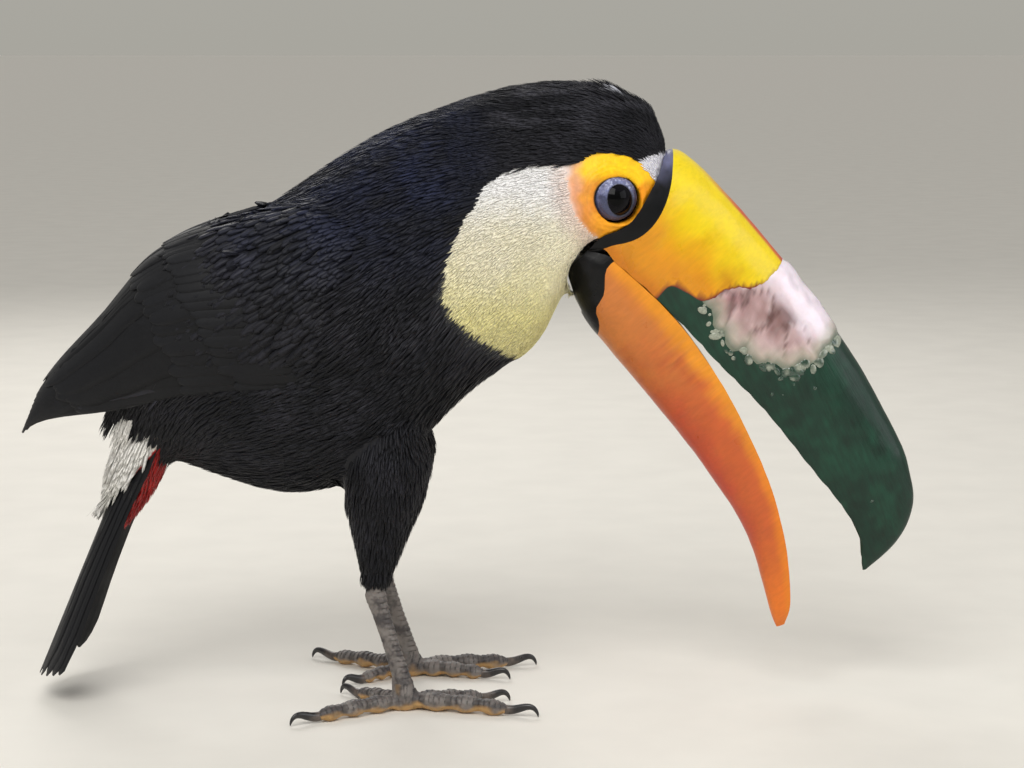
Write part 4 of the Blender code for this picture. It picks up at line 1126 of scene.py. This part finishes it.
# The lie of the feathers: x, distance from the middle and z, then its heading ahead, outwards and up.
LIE = (
    (131, 0, 238, -0.5, 0, 0.85), (120, 0, 252, -0.9, 0, 0.3), (100, 0, 257, -1, 0, 0.02),
    (79, 0, 257, -1, 0, -0.1),
    (40, 0, 248, -0.9, 0, -0.35), (9, 0, 234, -0.85, 0, -0.5), (-20, 0, 216, -0.84, 0, -0.54),
    (-50, 0, 195, -0.77, 0, -0.64), (-93, 0, 145, -0.5, 0, -0.87), (120, 22, 236, -1, 0.1, 0.3),
    (100, 27, 232, -1, 0, 0.0), (80, 30, 228, -1, 0, -0.12), (60, 33, 218, -0.95, 0, -0.3),
    (30, 38, 200, -0.85, 0, -0.5), (0, 44, 180, -0.8, 0, -0.6), (-50, 47, 150, -0.85, 0, -0.5),
    (-80, 35, 120, -0.5, -0.35, -0.8), (-86, 14, 128, -0.42, -0.1, -0.9), (88, 26, 208, -0.9, 0.1, -0.35),
    (75, 30, 195, -0.8, 0, -0.55),
    (60, 32, 175, -0.7, 0, -0.7), (80, 26, 165, -0.5, 0, -0.85), (98, 22, 182, -0.8, 0.1, -0.55),
    (92, 8, 160, -0.4, 0.1, -0.9), (76, 0, 142, -0.9, 0, -0.45), (60, 10, 140, -0.85, 0, -0.5),
    (48, 0, 125, -0.75, 0, -0.65), (40, 28, 130, -0.85, 0, -0.5), (28, 0, 105, -0.85, 0, -0.5),
    (3, 0, 90, -1, 0, -0.12), (-26, 0, 85, -1, 0, 0.1), (-52, 0, 92, -1, 0, 0.25), (0, 40, 110, -0.95, 0, -0.25),
)
SPINE = (
    (134, 195), (110, 208), (85, 207), (60, 197), (20, 178), (-10, 160), (-45, 140), (-85, 112), (-140, 100),
)


def lie_of(points, arrows, reach=17.0):
    """The heading of the coat at each point, as its nearest arrows say."""
    arrows = np.array(arrows, float)
    hand = np.sign(points[:, 1:2])
    mirror = np.concatenate([points[:, 0:1], np.abs(points[:, 1:2]), points[:, 2:3]], axis=1)
    gap = ((mirror[:, None] - arrows[None, :, :3]) ** 2).sum(axis=2)
    weight = np.exp(-(gap - gap.min(axis=1, keepdims=True)) / (2 * reach**2))
    way = weight @ arrows[:, 3:]
    way[:, 1] *= hand[:, 0]
    return unit(way)


def flattened(ways, normals):
    """The headings turned to lie along the surface."""
    return unit(ways - normals * (ways * normals).sum(axis=1, keepdims=True))


corner = skin_points[skin_faces]
face_cross = np.cross(corner[:, 1] - corner[:, 0], corner[:, 2] - corner[:, 0])
face_area = np.linalg.norm(face_cross, axis=1) / 2
face_normal = unit(face_cross)
face_middle = corner.mean(axis=1)
skin_normal = np.zeros_like(skin_points)
for k in range(3):
    np.add.at(skin_normal, skin_faces[:, k], face_cross)
skin_normal = unit(skin_normal)


def scattered(wanted, spacing, seed):
    """Roots on the wanted faces of the skin, no two closer than the spacing there, with their normals."""
    chance = np.random.default_rng(seed)
    faces = np.flatnonzero(wanted)
    share = face_area[faces] / spacing[faces] ** 2
    pick = faces[chance.choice(len(faces), int(share.sum() * 1.9), p=share / share.sum())]
    a, b = np.sqrt(chance.random(len(pick))), chance.random(len(pick))
    weights = np.stack([1 - a, a * (1 - b), a * b], axis=1)
    roots = (corner[pick] * weights[..., None]).sum(axis=1)
    normals = unit((skin_normal[skin_faces[pick]] * weights[..., None]).sum(axis=1))
    tree = KDTree(len(roots))
    for i, root in enumerate(roots.tolist()):
        tree.insert(root, i)
    tree.balance()
    free = np.ones(len(roots), bool)
    kept = []
    for i, root in enumerate(roots.tolist()):
        if free[i]:
            kept.append(i)
            for _, j, _ in tree.find_range(root, spacing[pick[i]]):
                free[j] = False
    return roots[kept], normals[kept], pick[kept], chance


def on_body_map(points):
    """The place of each point on the unrolled body: along its spine and round it."""
    gap, along = away_from(SPINE, points)
    above = np.interp(points[:, 0], [s[0] for s in SPINE[::-1]], [s[1] for s in SPINE[::-1]])
    up = np.where(points[:, 2] > above, gap, -gap)
    return np.stack([0.02 + 0.96 * along, 0.5 + 0.478 * np.arctan2(points[:, 1], up) / math.pi], axis=1)


def on_leg_map(points):
    """The place of each point on the unrolled thigh, the left thigh beside the right one."""
    about = np.arctan2(points[:, 0] - 15, np.abs(points[:, 1]) - 22)
    share = 0.25 + 0.22 * about / math.pi + 0.5 * (points[:, 1] > 0)
    return np.stack([0.02 + 0.96 * (points[:, 2] - 40) / 100, share], axis=1)


def mesh_of(name, points, quads, colours, marks, patch):
    """A piece from many small closed bodies, with their colours, their barb marks and their bake map."""
    mesh = bpy.data.meshes.new(name)
    mesh.vertices.add(len(points))
    mesh.vertices.foreach_set("co", ((points + SHIFT) * MM).astype(np.float32).ravel())
    real = np.where(quads[:, 3] == quads[:, 2], 3, 4)
    flat = quads[np.arange(4)[None] < real[:, None]]
    mesh.loops.add(len(flat))
    mesh.loops.foreach_set("vertex_index", flat.astype(np.int32))
    mesh.polygons.add(len(quads))
    mesh.polygons.foreach_set("loop_start", np.concatenate([[0], np.cumsum(real)[:-1]]).astype(np.int32))
    mesh.update(calc_edges=True)
    made = placed(name, mesh)
    paint(made, colours)
    layer = mesh.attributes.new("vane", "FLOAT_VECTOR", "POINT")
    layer.data.foreach_set("vector", marks.astype(np.float32).ravel())
    uv = mesh.uv_layers.new(name="OFBake")
    uv.data.foreach_set("uv", patch[flat].astype(np.float32).ravel())
    mesh.shade_smooth()
    return made


NARROW = ((-1, 0), (0, 1), (1, 0))  # across and up, round the section of a small feather


def small_feathers(name, roots, normals, ways, length, half, tip, colours, chance, on_map, fray, roll, rows,
                   widths, stiff):
    """Small feathers that follow the skin back from their roots: sunk at the root and raised at the tip."""
    count = len(roots)
    turn = np.radians(chance.normal(0, fray, count))[:, None]
    ways = unit(ways * np.cos(turn) + np.cross(normals, ways) * np.sin(turn))
    ways = np.where(stiff[:, None], ways, flattened(ways, normals))
    tilt = np.radians(chance.normal(0, roll, count))
    stops = (*rows, 1.0)
    place, points, marks = roots, [], []
    for k, stop in enumerate(stops):
        if k:
            step = (length * (stop - stops[k - 1]))[:, None]
            ahead = place + ways * step
            found = [skin_tree.find_nearest(p) for p in ahead.tolist()]
            near, facing = np.array([f[0] for f in found]), np.array([f[1] for f in found])
            off = np.array([f[3] for f in found])[:, None] > 0.45 * step + 0.6
            off |= ((facing * ways).sum(axis=1, keepdims=True) > 0.5) | stiff[:, None]
            place = np.where(off, ahead, near)
            normals = unit(np.where(off, normals, 0.45 * normals + 0.55 * facing))
            ways = np.where(stiff[:, None], ways, flattened(ways, normals))
        across = unit(np.cross(normals, ways))
        middle = place + normals * (-0.35 + (tip + 0.35) * stop**0.85)[:, None]
        if k == len(rows):
            points.append(middle[:, None])
            marks.append(np.stack([np.zeros(count), length, np.ones(count)], axis=1)[:, None])
            continue
        wide = half * widths[k]
        for side, up in NARROW:
            rise = 0.2 * half * up + side * wide * np.sin(tilt)
            aside = across * (wide * np.cos(tilt) * side)[:, None]
            points.append((middle + aside + normals * rise[:, None])[:, None])
            marks.append(np.stack([np.full(count, side), stop * length, np.full(count, stop)], axis=1)[:, None])
    points, marks = np.concatenate(points, axis=1), np.concatenate(marks, axis=1)
    total = points.shape[1]
    quads = [[2, 1, 0, 0]]
    for k in range(0, total - 4, 3):
        quads += [[k + i, k + (i + 1) % 3, k + 3 + (i + 1) % 3, k + 3 + i] for i in range(3)]
    quads += [[total - 4 + i, total - 4 + (i + 1) % 3, total - 1, total - 1] for i in range(3)]
    quads = (np.arange(count)[:, None, None] * total + np.array(quads)[None]).reshape(-1, 4)
    bright = (1 + (0.03 + 0.09 * (colours.sum(axis=1) < 1)) * chance.normal(0, 1, count)).clip(0.7, 1.3)
    shade = np.where(colours.sum(axis=1) < 1, 0.88, 0.96)[:, None]
    tints = colours[:, None] * (bright[:, None] * (shade + (1.05 - shade) * marks[..., 2]))[..., None]
    spread = np.stack([marks[..., 2] - 0.5, marks[..., 0] * 0.5], axis=-1) * 0.003
    patch = on_map(roots)[:, None] + spread
    marks[..., 2] = chance.random(count)[:, None]
    print(name, count, "feathers", count * (len(rows) * 6 - 2), "triangles")
    return mesh_of(
        name, points.reshape(-1, 3), quads, tints.reshape(-1, 3), marks.reshape(-1, 3), patch.reshape(-1, 2),
    )


def plumage(name, gloss, sheen, level, strands=9.0, slant=0.5, relief=0.3):
    """Feather: coloured by its paint, with fine barbs as relief, a silky sheen and broken gloss."""
    made, tree, shader = finish(name, Roughness=gloss, Sheen_Weight=sheen, Sheen_Roughness=0.45,
                                Specular_IOR_Level=level)
    mark = node(tree, "SeparateXYZ", {0: node(tree, "Attribute", attribute_name="vane").outputs["Vector"]})
    aside = node(tree, "Math", {0: mark.outputs["X"]}, operation="ABSOLUTE").outputs[0]
    way = node(tree, "Math", {0: aside, 1: strands}, operation="MULTIPLY")
    way = node(tree, "Math", {0: mark.outputs["Y"], 1: slant, 2: way.outputs[0]}, operation="MULTIPLY_ADD")
    way = node(tree, "Math", {0: mark.outputs["Z"], 1: 40.0, 2: way.outputs[0]}, operation="MULTIPLY_ADD")
    barb = node(tree, "Math", {0: way.outputs[0]}, operation="SINE").outputs[0]
    silk, patchy = spots(tree, 0.8, 3), spots(tree, 12, 3)
    streak, rib = ranged(tree, silk, 0.82, 1.2), ranged(tree, barb, 0.92, 1.08, -1, 1)
    tone = node(tree, "Math", {0: streak, 1: rib}, operation="MULTIPLY")
    tree.links.new(shaded(tree, painted(tree), tone.outputs[0]), shader.inputs["Base Color"])
    tree.links.new(ranged(tree, patchy, gloss - 0.08, gloss + 0.12), shader.inputs["Roughness"])
    raised(tree, shader, (barb, relief, 0.1), (silk, 0.25, 0.15))
    return made


black_plumage = plumage("plumage_black", 0.5, 0.02, 0.22)
white_plumage = plumage("plumage_white", 0.8, 0.3, 0.3, relief=0.08)
for name, value in (("Subsurface Weight", 0.25), ("Subsurface Scale", 0.0004), ("Subsurface Radius", (1, 1, 1))):
    white_plumage.node_tree.nodes["Principled BSDF"].inputs[name].default_value = value
face_x, face_side, face_z = face_middle[:, 0], np.abs(face_middle[:, 1]), face_middle[:, 2]
bald = (depth_in(ORBIT, face_middle) + 0.8 * lumps(face_middle, 2.5, 104) > -0.4) & (face_side > 9)
muzzle = away_from(FACE_EDGE, face_middle)[0]
bald |= (muzzle < 0.5) & ((face_x > 130) | (face_z < 200))
bald |= (face_normal[:, 0] > 0.75) & (muzzle < 7) & (face_z < 188)
near_face = 1 - eased(muzzle, 2, 26)
bald &= ~((depth_in(ORBIT, face_middle) < 0.7) & (face_x < 104) & (face_z < 217))
bald |= depth_in(GAPE, face_middle) > 0.5
# A feather has the colour of the place where its tip lies, so that the markings keep their borders.
jitter = np.stack([lumps(face_middle, 5, k) for k in (101, 102, 103)], axis=1)
face_lie = flattened(lie_of(face_middle, LIE), face_normal)
face_owner = owners(face_middle + (4.2 - 2.6 * near_face)[:, None] * face_lie + 0.8 * jitter)
MANTLE = (  # over the wing
    (-30, 240), (-30, 206), (-12, 211), (6, 210), (20, 196), (32, 186), (44, 170), (60, 240),
)
WING_FRONT = ((70, 260), (20, 200), (6, 176), (2, 150), (8, 124), (2, 90), (90, 90), (90, 260))
on_wing = belongs(face_owner, "wing", "flight")
draped = np.maximum(depth_in(MANTLE, face_middle), depth_in(WING_FRONT, face_middle))
draped = draped + 2 * lumps(face_middle, 4, 105)
hem = on_wing * np.exp(-((draped - 1) / 3.5) ** 2)  # where the long feathers of the back end over the wing
crown_part = belongs(face_owner, "head", "neck", "trunk") & ~bald
behind = (face_x + 0.5 * (face_z - 200) < 62) & crown_part
trunk_part = behind | (on_wing & (draped > 0))
crown_part &= ~behind


def coat_piece(name, wanted, spacing, seed, long, wide, lift, material, slot, arrows=LIE, on_map=on_body_map,
               fray=5.0, roll=6.0, rows=(0, 0.35, 0.78), widths=(0.7, 1.0, 0.75), stiff=None):
    """One piece of the coat: scatters roots, and gives each its feather of that length and half width."""
    roots, normals, pick, chance = scattered(wanted, spacing, seed)
    headings = arrows(roots) if callable(arrows) else lie_of(roots, arrows)
    ways = flattened(headings, normals)
    straight = np.zeros(len(roots), bool) if stiff is None else stiff[pick]
    ways = np.where(straight[:, None], unit(0.3 * ways + 0.7 * headings), ways)
    long = long[pick] * chance.uniform(0.85, 1.15, len(roots))
    rise = lift[pick] * chance.uniform(0.75, 1.25, len(roots))
    colours = coat_colour(roots + ways * 0.6 * long[:, None], face_owner[pick])
    made = small_feathers(
        name, roots, normals, ways, long, wide[pick], rise, colours, chance, on_map, fray, roll, rows, widths,
        straight,
    )
    return stand_in_for(made, material, slot)


ones = np.ones(len(face_middle))
ruffle = np.exp(-(((face_x - 112) / 6) ** 2 + ((face_z - 254) / 8) ** 2))  # a ruffled spot over the forehead
forehead = 1.0 * np.exp(-(((face_x - 121) / 8) ** 2) - ((face_z - 244) / 9) ** 2)
for k, half in enumerate((face_middle[:, 1] <= 0, face_middle[:, 1] > 0)):
    side = ("right", "left")[k]
    coat_piece(
        "coat_head_" + side, crown_part & half, 0.66 - 0.18 * near_face, 201 + k,
        9 - 5.5 * near_face, 0.42 - 0.12 * near_face,
        1.25 - 0.75 * near_face + 2.2 * ruffle + forehead, black_plumage, "body_black",
    )
    coat_piece(
        "coat_bib_" + side, belongs(face_owner, "bib") & ~bald & half, 0.64 - 0.1 * near_face, 203 + k,
        6.0 - 2.8 * near_face, 0.42 - 0.08 * near_face, 0.36 - 0.1 * near_face, white_plumage, "bib_white",
        fray=5.0, roll=1.5,
    )
    coat_piece(
        "coat_body_" + side, trunk_part & half, 1.02 - 0.15 * hem, 205 + k,
        12 + 5 * hem, 0.68 - 0.12 * hem, 1.6 + 1.1 * hem, black_plumage, "body_black",
    )
downward = lambda p: np.tile((-0.12, 0.0, -0.99), (len(p), 1))
tailward = lambda p: np.tile((-math.cos(TAIL_SLOPE), 0.0, -math.sin(TAIL_SLOPE)), (len(p), 1))
ankle = 1 - eased(face_z, 52, 66)
not_end = face_normal @ tailward(ones[:1])[0] < 0.4
covert = belongs(face_owner, "tail_coverts", "crissum") & not_end
facing_up = face_normal @ np.array((-math.sin(TAIL_SLOPE), 0.0, math.cos(TAIL_SLOPE)))
over_sheet = over_tail(face_middle)
coat_piece(
    "coat_thighs", belongs(face_owner, "thigh") & (face_z > 52), 0.95 - 0.15 * ankle, 208,
    10 - 5.5 * ankle, 0.66 - 0.15 * ankle, 1.5 - 0.6 * ankle, black_plumage, "body_black",
    arrows=downward, on_map=on_leg_map, stiff=ankle > 0.35,
)
coat_piece(
    "coat_over_tail", covert & (over_sheet > 2) & (facing_up > 0.1), ones, 209,
    11 * ones, 0.8 * ones, 0.8 * ones, white_plumage,
    "feather_white", arrows=tailward, stiff=ones > 0,
)
coat_piece(
    "coat_under_tail", covert & (over_sheet < -2) & (facing_up < 0.2), ones, 210,
    9 * ones, 0.7 * ones, ones,
    plumage("plumage_red", 0.7, 0.15, 0.3), "feather_red", arrows=tailward, stiff=ones > 0,
)


# ================================================================ feathers of the wings and tail
# The folded wings carry rows of broad feathers, laid like roof tiles: small ones in front, then longer ones,
# and the long flight feathers to the tip. Ten broad feathers make the tail. Each has a shaft and a thin vane.

WING_BED = (
    (9, 231, 50, 128, 42, -0.05), (-19, 216, 36, 112, 48, -0.05), (-54, 203, 6, 103, 47, 0.0),
    (-79, 187, -30, 100, 41, 0.05), (-100, 162, -66, 100, 31, 0.1), (-125, 134, -98, 100, 20, 0.1),
    (-137, 112, -124, 103, 11, 0.1),
)
WING_FULLNESS, WING_BEND, WING_THICKNESS = 0.84, 0.2, (4.6, 2.2)
WING_EDGES = ((27, 4), (118, 104))
bed_rows = smooth_rows(WING_BED, 81, 0.03, 1.0)
ACROSS_VANE = (-1, -0.5, 0, 0.5, 1)


def on_wing_bed(u, v, out):
    """A point of the right wing: so far from its bend to its tip, so far down from its upper edge."""
    at = np.clip(u, 0, 1) * 80
    v = np.clip(v, 0, 1) + 0.1 * (v - np.clip(v, 0, 1))
    back_x, back_z, belly_x, belly_z, half_width, level = (
        np.interp(at, np.arange(81), bed_rows[:, k]) for k in range(6)
    )
    point = np.sqrt(np.maximum(1 - np.maximum(0, (u - 0.62) / 0.38).clip(0, 1) ** 2.2, 0.03))
    blunt = np.sqrt(np.maximum(1 - np.maximum(0, 1 - u / WING_BEND) ** 2, 0.02))
    upper, lower = (np.radians(front + (end - front) * np.minimum(u / 0.6, 1)) for front, end in WING_EDGES)
    lower = upper + (lower - upper) * point
    across = 2 * v - 1
    angle = (upper + lower) / 2 + (lower - upper) / 2 * across * blunt
    thick = (WING_THICKNESS[0] + (WING_THICKNESS[1] - WING_THICKNESS[0]) * u) * (0.3 + 0.7 * blunt * point)
    out = out - 1.9 + thick * (0.18 + 0.82 * np.sqrt(np.maximum(1 - across**2, 0)))
    rise = np.stack([back_x - belly_x, back_z - belly_z], axis=-1) / 2
    depth = np.linalg.norm(rise, axis=-1)
    middle = np.stack([back_x + belly_x, back_z + belly_z], axis=-1) / 2
    lift = (depth + out) * (np.cos(angle) + level * np.sin(angle) ** 2) / depth
    flat = middle + rise * lift[..., None]
    wide = (half_width + out) * np.abs(np.sin(angle)) ** WING_FULLNESS
    return np.stack([flat[..., 0], -wide, flat[..., 1]], axis=-1)


def on_tail_sheet(length, across, up):
    """A point of the tail: so far from its root, so far to the left and so far above its arched sheet."""
    u = (length + 12) / 134
    opening = np.sin(math.pi / 2 * np.clip(u / 0.85, 0, 1))
    half = TAIL_HALF_WIDTH[0] + (TAIL_HALF_WIDTH[1] - TAIL_HALF_WIDTH[0]) * opening
    up = up - TAIL_ARCH * (across / half) ** 2
    x = TAIL_ROOT[0] - math.cos(TAIL_SLOPE) * length - math.sin(TAIL_SLOPE) * up
    z = TAIL_ROOT[1] - math.sin(TAIL_SLOPE) * length + math.cos(TAIL_SLOPE) * up
    return np.stack([x, across, z], axis=-1)


def broad_feathers(name, surface, rows, seed, pointed=0.0, hand=1, edges=(0.0, 1.0), root=0.2,
                   colour=ink(17, 18, 22)):
    """Broad feathers on a surface. Each row says where the root and tip are, the half width, the heights at
    the root and tip, and how much the far edge of the vane stands higher than the near one."""
    chance = np.random.default_rng(seed)
    rows = np.array(rows, float)
    count = len(rows)
    stops = np.array((0, 0.05, 0.14, 0.26, 0.4, 0.53, 0.65, 0.75, 0.83, 0.89, 0.94, 0.975, 1.0))
    full = np.array((0.2, 0.5, 0.8, 0.97, 1, 1, 1, 0.98, 0.93, 0.84, 0.68, 0.46, 0.1))
    slim = np.array((0.2, 0.5, 0.8, 0.97, 1, 0.98, 0.92, 0.84, 0.72, 0.58, 0.43, 0.27, 0.06))
    profile = np.where(stops < 0.3, np.maximum(full, root), full + (slim - full) * pointed)
    s0, w0, s1, w1, half, low, high, roll = (rows[:, k][:, None] for k in range(8))
    s = s0 + (s1 - s0) * stops
    w = w0 + (w1 - w0) * stops
    one = np.linalg.norm(surface(s, w + 0.01, 0 * s) - surface(s, w - 0.01, 0 * s), axis=-1) / 0.02
    wave = chance.normal(0, 0.05, (count, len(stops)))
    height = low + (high - low) * stops**0.8 + chance.normal(0, 0.06, (count, 1))
    ring, marks = [], []
    for under in (False, True):
        for c in ACROSS_VANE[:: -1 if under else 1]:
            wide = half * profile * (c * (1 + wave * (abs(c) == 1)) + 0.12 * (c == 0))
            thick = 0.22 if c == 0 else 0.12 if abs(c) < 1 else 0.04
            up = height + roll * c * profile + (-thick if under else thick) - 0.1 * c * c
            room = (w - edges[0] if c < 0 else edges[1] - w) * abs(c)
            ring.append(surface(s, w + np.clip(wide / np.maximum(one, 1e-3), -room, room), up))
            marks.append(np.stack([c + 0 * s, stops * np.ones((count, 1)), c * c + 0 * s], axis=-1))
    points = np.stack(ring, axis=2).reshape(count, -1, 3) * (1, hand, 1)
    marks = np.stack(marks, axis=2).reshape(count, -1, 3)
    size = 2 * len(ACROSS_VANE)
    quads = [[size - 1 - i, size - 2 - i, i + 1, i] for i in range(4)]
    for k in range(len(stops) - 1):
        a = k * size
        quads += [[a + i, a + (i + 1) % size, a + size + (i + 1) % size, a + size + i] for i in range(size)]
    a = (len(stops) - 1) * size
    quads += [[a + i, a + i + 1, a + size - 2 - i, a + size - 1 - i] for i in range(4)]
    quads = (np.arange(count)[:, None, None] * len(points[0]) + np.array(quads)[None]).reshape(-1, 4)
    if (surface is on_wing_bed) == (hand > 0):
        quads = quads[:, ::-1]
    tone = (1 + 0.1 * chance.normal(0, 1, (count, 1))) * (0.85 + 0.3 * marks[..., 1] ** 3)
    tints = np.array(colour) * tone[..., None]
    share = (np.arange(count)[:, None] + 0.5 + 0.42 * marks[..., 0]) / count
    patch = np.stack([0.02 + 0.96 * marks[..., 1], share], axis=-1)
    long = np.linalg.norm(points[:, -1] - points[:, 0], axis=-1)[:, None]
    marks = np.stack([marks[..., 0], marks[..., 1] * long, chance.random((count, 1)) + 0 * marks[..., 0]], axis=-1)
    print(name, count, "feathers", count * len(points[0]) * 2, "triangles")
    return mesh_of(
        name, points.reshape(-1, 3), quads, tints.reshape(-1, 3), marks.reshape(-1, 3), patch.reshape(-1, 2),
    )


vane_black = plumage("vane_black", 0.5, 0.02, 0.22, strands=-45.0, slant=8.0, relief=0.14)
coverts = on_wing & (draped < 3) & (face_x + 0.35 * (face_z - 150) > -52)
for k, (side, hand) in enumerate((("right", 1), ("left", -1))):
    here = coverts & (face_middle[:, 1] * hand < 0)
    grown = eased(10 - face_x, 0, 40)
    coat_piece(
        "coat_wing_" + side, here, 1.5 + 0.7 * grown, 220 + k,
        9 + 4 * grown, 1.1 + 0.7 * grown, 1.0 + 0.4 * grown, black_plumage, "feather_black",
        fray=4.0, roll=4.0, rows=(0, 0.3, 0.62, 0.88), widths=(0.6, 0.95, 1.0, 0.75),
    )
    chance = np.random.default_rng(230 + k)
    rows = []
    for i in range(9):  # the long outer flight feathers, under the rest
        rows.append((0.5, 0.97 - 0.045 * i, 1.0 - 0.012 * i, 0.9 - 0.09 * i, 6.0, 0.1 + 0.05 * i, 0.35 + 0.07 * i, 0.1))
    primaries = broad_feathers("flight_feathers_long_" + side, on_wing_bed, rows, 240 + k, 0.8, hand)
    rows = []
    for i in range(12):  # the shorter flight feathers
        v = 0.96 - 0.079 * i
        end = 0.86 - 0.03 * abs(i - 7) / 7 + chance.normal(0, 0.008)
        rows.append((0.46, v, end, v - 0.02, 6.6, 0.1, 0.95 + 0.03 * i, 0.2))
    for i in range(17):  # the row of large coverts
        v = 0.98 - 0.058 * i
        rows.append((0.37, v, 0.56 + chance.normal(0, 0.007), v - 0.012, 4.6, -0.1, 1.4, 0.16))
    for i in range(21):  # the row of middling coverts
        v = 0.985 - 0.047 * i
        rows.append((0.3, v, 0.455 + chance.normal(0, 0.008), v - 0.012, 3.8, -0.5, 1.5, 0.14))
    wing = broad_feathers("flight_feathers_" + side, on_wing_bed, rows, 250 + k, 0.3, hand)
    stand_in_for(primaries, vane_black, "feather_black")
    stand_in_for(wing, vane_black, "feather_black")
rows = []
for i in (4, 3, 2, 1, 0):
    for hand in (-1, 1):
        end = (3.2, 9.5, 15.2, 19.8, 23.2)[i] * hand
        length = 120 * (1 - 0.12 * (end / 30) ** 2)
        rows.append((-12, end * 0.3, length, end, 8.6 - 0.35 * i, 0.9 - 0.42 * i, 0.75 - 0.38 * i, -0.1 * hand))
tail = broad_feathers("tail_feathers", on_tail_sheet, rows, 260, 0.1, edges=(-40.0, 40.0), root=0.9)
stand_in_for(tail, vane_black, "feather_black", "tail")


# ================================================================ floor, light and camera
# A pale floor and soft studio light: a broad light over the bird's right front, a weaker one behind and a
# pale room all round. The camera stands level with the head, a little above it, at the bird's right side.

floor_mesh = bpy.data.meshes.new("floor")
floor_mesh.from_pydata([(-60, -60, 0), (60, -60, 0), (60, 60, 0), (-60, 60, 0)], [], [(0, 1, 2, 3)])
floor = placed("floor", floor_mesh)
made, tree, shader = finish("floor_paint", Roughness=0.75)
speckle = spots(tree, 40, 4)
tint = ranged(tree, speckle, 0.97, 1.02)
tree.links.new(shaded(tree, node(tree, "RGB").outputs[0], tint), shader.inputs["Base Color"])
tree.nodes["RGB"].outputs[0].default_value = (0.76, 0.735, 0.68, 1)
floor.data.materials.append(made)

room = bpy.data.worlds.new("room")
room.use_nodes = True
tree = room.node_tree
height = node(tree, "SeparateXYZ", {0: node(tree, "TexCoord").outputs["Generated"]}).outputs["Z"]
light = blended(tree, ranged(tree, height, 0, 1, 0.0, 0.6), (0.478, 0.465, 0.418), (0.66, 0.65, 0.63))
tree.nodes["Background"].inputs["Strength"].default_value = 0.82
tree.links.new(light, tree.nodes["Background"].inputs["Color"])
bpy.context.scene.world = room
bpy.context.scene.view_settings.view_transform = "Standard"

AIM = Vector((0.0185, 0.0, 0.131))
for name, place, size, power, colour in (
    ("key", (-0.25, -0.95, 1.15), 0.9, 13.0, (1.0, 0.985, 0.96)),
    ("fill", (1.1, -0.5, 0.55), 0.8, 3, (0.93, 0.96, 1.0)),
    ("back", (-0.3, 1.1, 0.95), 0.7, 6, (1.0, 0.98, 0.95)),
):
    lamp = bpy.data.lights.new(name, "AREA")
    lamp.size, lamp.energy, lamp.color = size, power, colour
    made = placed(name, lamp)
    made.location = place
    made.rotation_euler = (AIM - Vector(place)).to_track_quat("-Z", "Y").to_euler()

DISTANCE, RISE = 1.004, math.radians(8)
camera_data = bpy.data.cameras.new("camera")
camera_data.lens, camera_data.sensor_width = 85, 36
camera = placed("camera", camera_data)
camera.location = AIM + Vector((0, -math.cos(RISE), math.sin(RISE))) * DISTANCE
camera.rotation_euler = (AIM - camera.location).to_track_quat("-Z", "Y").to_euler()
bpy.context.scene.camera = camera
